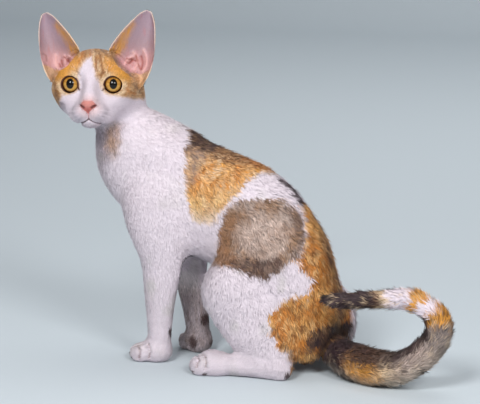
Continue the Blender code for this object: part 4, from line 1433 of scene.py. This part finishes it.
def rim_path(side, count=72):
    """The opening seen along the line of sight: an ellipse with a point at its inner lower corner."""
    turn = np.linspace(0, 2 * math.pi, count, endpoint=False)
    corner = math.radians(215)
    bulge = np.exp(-((np.angle(np.exp(1j * (turn - corner))) / 0.26) ** 2))
    y = side * RIM_HALF[side][0] * np.cos(turn) * (1 + 0.2 * bulge)
    z = RIM_HALF[side][1] * np.sin(turn) * (1 + 0.2 * bulge)
    out = np.sqrt(np.maximum(RIM_AWAY**2 - y**2 - z**2, 1))
    thick = 0.78 + 0.24 * np.sin(turn) + 0.2 * bulge
    return np.column_stack([out, y, z]), thick


def closed_tube(path, thick, around=10):
    """A ring-shaped tube: circles across a closed path, in the plane of the path's normal and the x axis."""
    along = unit(np.roll(path, -1, axis=0) - np.roll(path, 1, axis=0))
    outward = unit(path)
    points = rings_across(path, outward, np.cross(along, outward), thick, around)
    return points, grid_faces(len(path) + 1, around, wrap=True) % len(points)


def opening_axes(side):
    """Axes of an eye's opening: out, to the cat's left and up."""
    outwards = Matrix.Rotation(math.radians(OPENING_TURN * side), 3, "Z")
    return HEAD_AXES @ np.array(outwards @ Matrix.Rotation(math.radians(OPENING_TIP), 3, "Y"))


rim_material = principled("lid_rim", RIM, Roughness=0.35, Specular_IOR_Level=0.5)
for name, side in (("lid_rim_left", 1), ("lid_rim_right", -1)):
    local, faces = closed_tube(*rim_path(side))
    placed = local @ opening_axes(side).T + from_head([0, side * EYE_SPREAD, 0])
    rim = plain_mesh(name, (placed + SHIFT) * MM, faces, rim_material)
    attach(rim, "root")

# %% [markdown]
# ## An unwrap of the skin for the coat
#
# The coat's colours are baked to images when the model is exported. Each tuft therefore needs its own small
# patch of an unwrapped map, at the place of its root. The skin is unwrapped by the directions its surface
# faces, and the tufts take their patches from there.

# %% Unwrapping the skin
skin.data.uv_layers.new(name="unwrap")
bpy.context.view_layer.objects.active = skin
skin.select_set(True)
bpy.ops.object.mode_set(mode="EDIT")
bpy.ops.mesh.select_all(action="SELECT")
bpy.ops.uv.smart_project(angle_limit=math.radians(66), island_margin=0.001)
bpy.ops.object.mode_set(mode="OBJECT")
triangles = read(skin.data.loops, "vertex_index", 1, np.int32).reshape(-1, 3)
unwrap = read(skin.data.uv_layers[0].data, "uv", 2).reshape(-1, 3, 2).astype(float)
skin.data.uv_layers.remove(skin.data.uv_layers[0])
print("unwrapped", len(triangles), "triangles")

# %% [markdown]
# ## Planting the coat
#
# A real coat has millions of hairs that cling together in small locks. Each lock is one closed spindle of
# six triangles here: a point at the root under the skin, three corners where it is widest, and a point at
# the tip. Roots are spread evenly by area, and closer where the hair is finer. Each tuft leans the way the
# hair lies there, with a sideways wave that neighbours share, because this breed's coat ripples.

# %% Choosing the roots
TUFTS = 226_000
rng = np.random.default_rng(7)


def tuft_density(points, normals):
    """Tufts wanted at a place, as a share: more on head and feet, few in the ears, none on bare skin."""
    face = in_head(points)
    folded = both_sides(face)
    front = front_share(face)
    inner_edges = (path_distance(face, ear_grid(side)[:, 0]) for side in (1, -1))
    down = soft_step(9, 3, np.minimum(*inner_edges))
    fine = 1 + 1.3 * front + 0.5 * head_share(face)
    fine *= 1 + 0.8 * soft_step(34, 16, points[:, 2]) * soft_step(70, 50, points[:, 0])
    fine *= 1 - 0.7 * np.minimum(toe_parting(points), 1)
    fine *= 1 - ear_inside(face, normals) * (1 - 0.35 * down)
    bare = np.max(
        [
            nose_share(face),
            soft_step(1.5, 0.9, path_distance(folded, MOUTH)) * front,
            soft_step(1.1, 0.6, path_distance(folded, PARTING)) * front,
            soft_step(1.6, 1.0, edge_distance(face)),
        ],
        axis=0,
    )
    from_eye = np.column_stack([face[:, 0] * 0.7, np.abs(face[:, 1]) - EYE_SPREAD, face[:, 2]])
    fine *= (1 - bare) * soft_step(11.0, 12.6, np.linalg.norm(from_eye, axis=1))
    return fine * soft_step(1.0, 2.5, points[:, 2])


def chosen_roots(count):
    """Roots on the skin: steps of equal share through the triangles, then a random place in each triangle."""
    a, b, c = (skin_points[triangles[:, k]] for k in range(3))
    area = np.linalg.norm(np.cross(b - a, c - a), axis=1) / 2
    facing = unit(sum(skin_normals[triangles[:, k]] for k in range(3)))
    share = np.cumsum(area * tuft_density((a + b + c) / 3, facing))
    place = (np.arange(count) + rng.random(count)) / count * share[-1]
    chosen = np.minimum(np.searchsorted(share, place), len(triangles) - 1)
    u, v = rng.random((2, count))
    over = u + v > 1
    u, v = np.where(over, 1 - u, u), np.where(over, 1 - v, v)
    print("skin area:", round(area.sum() / 100), "cm2, tufts per cm2:", round(100 * count / area.sum()))
    return chosen, np.column_stack([1 - u - v, u, v])


def blend_corners(values):
    """A value at each root from the three corners of its triangle."""
    return (values[root_triangle] * root_weights[:, :, None]).sum(axis=1)


root_triangle, root_weights = chosen_roots(TUFTS)
roots = blend_corners(skin_points[triangles])
root_normals = unit(blend_corners(skin_normals[triangles]))
root_places = blend_corners(unwrap)

# %% Shaping the tufts
def turned(ways, axes, angle):
    """Turns directions round unit axes at right angles to them."""
    return ways * np.cos(angle)[:, None] + np.cross(axes, ways) * np.sin(angle)[:, None]


def waviness(points):
    """How strongly the coat waves: little on chest and forelegs, most on haunches, back and tail."""
    rear = soft_step(-84, -10, points[:, 0] + 0.3 * (points[:, 2] - 150))
    return rear * soft_step(14, 34, points[:, 2] + 0.4 * np.maximum(points[:, 0] - 60, 0))


def tuft_ways(points, normals):
    """Way, depth, length and width of each tuft, and how much it waves."""
    lie, depth, length = coat_at(points)
    face = in_head(points)
    off_head = 1 - head_share(face)
    wavy = off_head * waviness(points)
    flat = unit(lie - (lie * normals).sum(1, keepdims=True) * normals)
    wave = soft_noise(points, 6.5, 41) + 0.6 * soft_noise(points, 3.0, 42)
    bend = (0.22 + 0.42 * wavy) * wave + (0.1 + 0.1 * wavy) * rng.standard_normal(len(points))
    flat = turned(flat, normals, bend)
    lift = 0.75 + 0.25 * wavy + (0.05 + 0.25 * wavy) * soft_noise(points, 4.0, 43)
    lift += 0.08 * rng.standard_normal(len(points))
    stray = (rng.random(len(points)) < 0.015 + 0.05 * wavy) * off_head
    lift = lift * (1 + 1.3 * stray)
    length = length * (0.85 + 0.15 * wavy) * (1 + 0.16 * rng.standard_normal(len(points)))
    width = np.clip(0.14 * length, 0.42, 1.05) * (0.8 + 0.4 * rng.random(len(points)))
    cup = ear_inside(face, normals)
    width, depth = width * (1 - 0.45 * cup), depth * (1 - 0.3 * cup)
    length = length * (1 - 0.45 * soft_step(6, 2, edge_distance(face)))
    return flat, np.clip(depth * lift, 0.25, 5), np.clip(length, 1.4, 13), width, wavy


def tuft_points(points, normals, flat, depth, length, width, wavy):
    """Five corners of each spindle: root, left, right and top of the widest place, and tip. Each corner is
    shaded much like the skin below it, so that the locks read as one soft coat."""
    side = np.cross(normals, flat)
    length, depth, width = length[:, None], depth[:, None], width[:, None]
    root = points - 0.3 * normals
    middle = points + 0.45 * length * flat + 0.6 * depth * normals
    tip = points + length * flat + depth * normals
    left, right = middle + side * width / 2, middle - side * width / 2
    top = middle + normals * 0.2 * width
    corners = np.stack([root, left, right, top, tip], axis=1)
    height = corners[:, :, 2]
    corners[:, :, 2] = np.where(height < 1, 0.05 + 0.95 * np.exp(np.minimum(height, 1) - 1), height)
    lean = (0.12 + 0.3 * wavy)[:, None] * side
    shading = np.stack([normals, normals + lean, normals - lean, normals, normals + 0.15 * flat], axis=1)
    return corners, unit(shading)


TUFT_FACES = np.array([(0, 3, 1), (0, 2, 3), (0, 1, 2), (4, 1, 3), (4, 3, 2), (4, 2, 1)])
# places of a tuft's corners within its patch of the unwrap
TUFT_PATCH = np.array([(0, -1), (-0.7, 0.1), (0.7, 0.1), (0, 0.3), (0, 1)]) * 0.0014
TUFT_TONE = np.array([0.9, 0.98, 0.98, 1.0, 1.06])


def tuft_colours(points, normals):
    """The markings at each root, with darker and paler hairs mixed in where the coat isn't white."""
    colour = coat_colour(points, normals)
    deep = soft_step(0.75, 0.45, colour.mean(axis=1))
    clump = soft_noise(points * [1, 1, 0.6], 2.2, 51)
    chance = rng.random(len(points))
    dark = deep * (chance < 0.16 + 0.2 * clump)
    pale = deep * (chance > 0.92 + 0.1 * clump)
    mottle = 1 + (0.03 + 0.07 * deep) * rng.standard_normal(len(points))
    for tone in (1 - 0.42 * dark, 1 + 0.4 * pale, mottle):
        colour = colour * tone[:, None]
    return colour


tufts, tuft_shading = tuft_points(roots, root_normals, *tuft_ways(roots, root_normals))
tuft_tint = tuft_colours(roots, root_normals)

# %% Building the coat's pieces
TUFTS_A_PIECE = 32_800


def build_coat(name, chosen, material):
    """One piece of the coat, with its colours and its patches of the unwrap."""
    count = len(chosen)
    points = tufts[chosen].reshape(-1, 3)
    faces = (TUFT_FACES[None] + 5 * np.arange(count)[:, None, None]).reshape(-1, 3)
    coat = plain_mesh(name, (points + SHIFT) * MM, faces, material)
    coat.data.normals_split_custom_set_from_vertices(tuft_shading[chosen].reshape(-1, 3))
    colour = np.clip(tuft_tint[chosen][:, None] * TUFT_TONE[:, None], 0, 1).reshape(-1, 3)
    store_colour(coat.data, "coat", colour)
    places = (root_places[chosen][:, None] + TUFT_PATCH).reshape(-1, 2)[faces.ravel()]
    layer = coat.data.uv_layers.new(name="OFBake")
    layer.data.foreach_set("uv", np.clip(places, 0, 1).astype(np.float32).ravel())
    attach(coat, "root")


coat_material = fur_like(
    "cat_coat", (900, 2500), 0.0001, Roughness=0.65, Sheen_Weight=0.08, Sheen_Roughness=0.4
)
order = np.argsort(roots[:, 0])
pieces = np.array_split(order, math.ceil(TUFTS / TUFTS_A_PIECE))
for number, chosen in enumerate(pieces, 1):
    build_coat(f"coat_{number}", chosen, coat_material)
print(len(pieces), "pieces of coat,", 6 * TUFTS, "triangles in all")

# %% [markdown]
# ## Whiskers
#
# This breed's whiskers are short, fine and a little crinkled. Each is a closed tube of four sides that
# tapers to a point. It starts on the skin at a place given from the front, and bends down as it goes.

# %% Whiskers and brow hairs
# (left, up) of the root, (forward, left, up) way, length; the other side has the mirrored ones
WHISKERS = [
    ((7.5, -24.5), (0.30, 1.0, 0.15), 21), ((10.0, -25.0), (0.15, 1.0, 0.10), 24),
    ((12.5, -26.0), (0.0, 1.0, 0.12), 20), ((7.0, -27.5), (0.35, 1.0, -0.10), 22),
    ((9.8, -28.2), (0.20, 1.0, -0.12), 26), ((12.6, -29.0), (0.05, 1.0, -0.10), 21),
    ((8.0, -30.6), (0.35, 1.0, -0.35), 18), ((11.0, -31.4), (0.2, 1.0, -0.38), 20),
    ((16.0, 16.0), (0.5, 0.35, 1.0), 15), ((19.0, 16.5), (0.5, 0.6, 1.0), 12),
]
WHISKER_RADIUS = 0.1
WHISKER_SHARE = 0.6
WHISKER_SAG = np.array([-0.12, 0, -0.22])
STEPS, SIDES = 12, 4


def whisker_points(number, side, at, way, length):
    """One whisker: circles that shrink along a bent path with a slight crinkle."""
    places = in_head(skin_points)
    gap = np.hypot(places[:, 1] - side * at[0], places[:, 2] - at[1]) + 100 * (places[:, 0] < 0)
    t = np.linspace(-0.02, 1, STEPS)[:, None]
    length = length * WHISKER_SHARE
    crinkle = np.sin(t * 14 + number) * [0.3, 0.1, 0.5]
    way = unit(np.array([way[0], side * way[1], way[2]]))
    path = places[gap.argmin()] + way * length * t + WHISKER_SAG * length * t**2 + crinkle * t
    along = unit(np.gradient(path, axis=0))
    first = unit(np.cross(along, [1.0, 0.2, 0.1]))
    return rings_across(path, first, np.cross(along, first), WHISKER_RADIUS * (1 - 0.85 * t[:, 0]), SIDES)


def capped_faces(rows, columns):
    """Triangles of a tube of rings, with flat ends."""
    quads = grid_faces(rows, columns, wrap=True)
    last = (rows - 1) * columns
    inner = range(1, columns - 1)
    ends = [(0, k + 1, k) for k in inner] + [(last, last + k, last + k + 1) for k in inner]
    return np.vstack([quads[:, [0, 1, 2]], quads[:, [0, 2, 3]], ends])


every = [(side, *row) for row in WHISKERS for side in (1, -1)]
whisker_rings = np.vstack([whisker_points(k, *row) for k, row in enumerate(every)])
whisker_faces = capped_faces(STEPS, SIDES)[None] + STEPS * SIDES * np.arange(len(every))[:, None, None]
whisker_material = principled("whisker_hair", WHITE, Roughness=0.4, Sheen_Weight=0.2)
whiskers = plain_mesh(
    "whiskers", (from_head(whisker_rings) + SHIFT) * MM, whisker_faces.reshape(-1, 3), whisker_material
)
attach(whiskers, "root")
print(len(every), "whiskers and brow hairs")
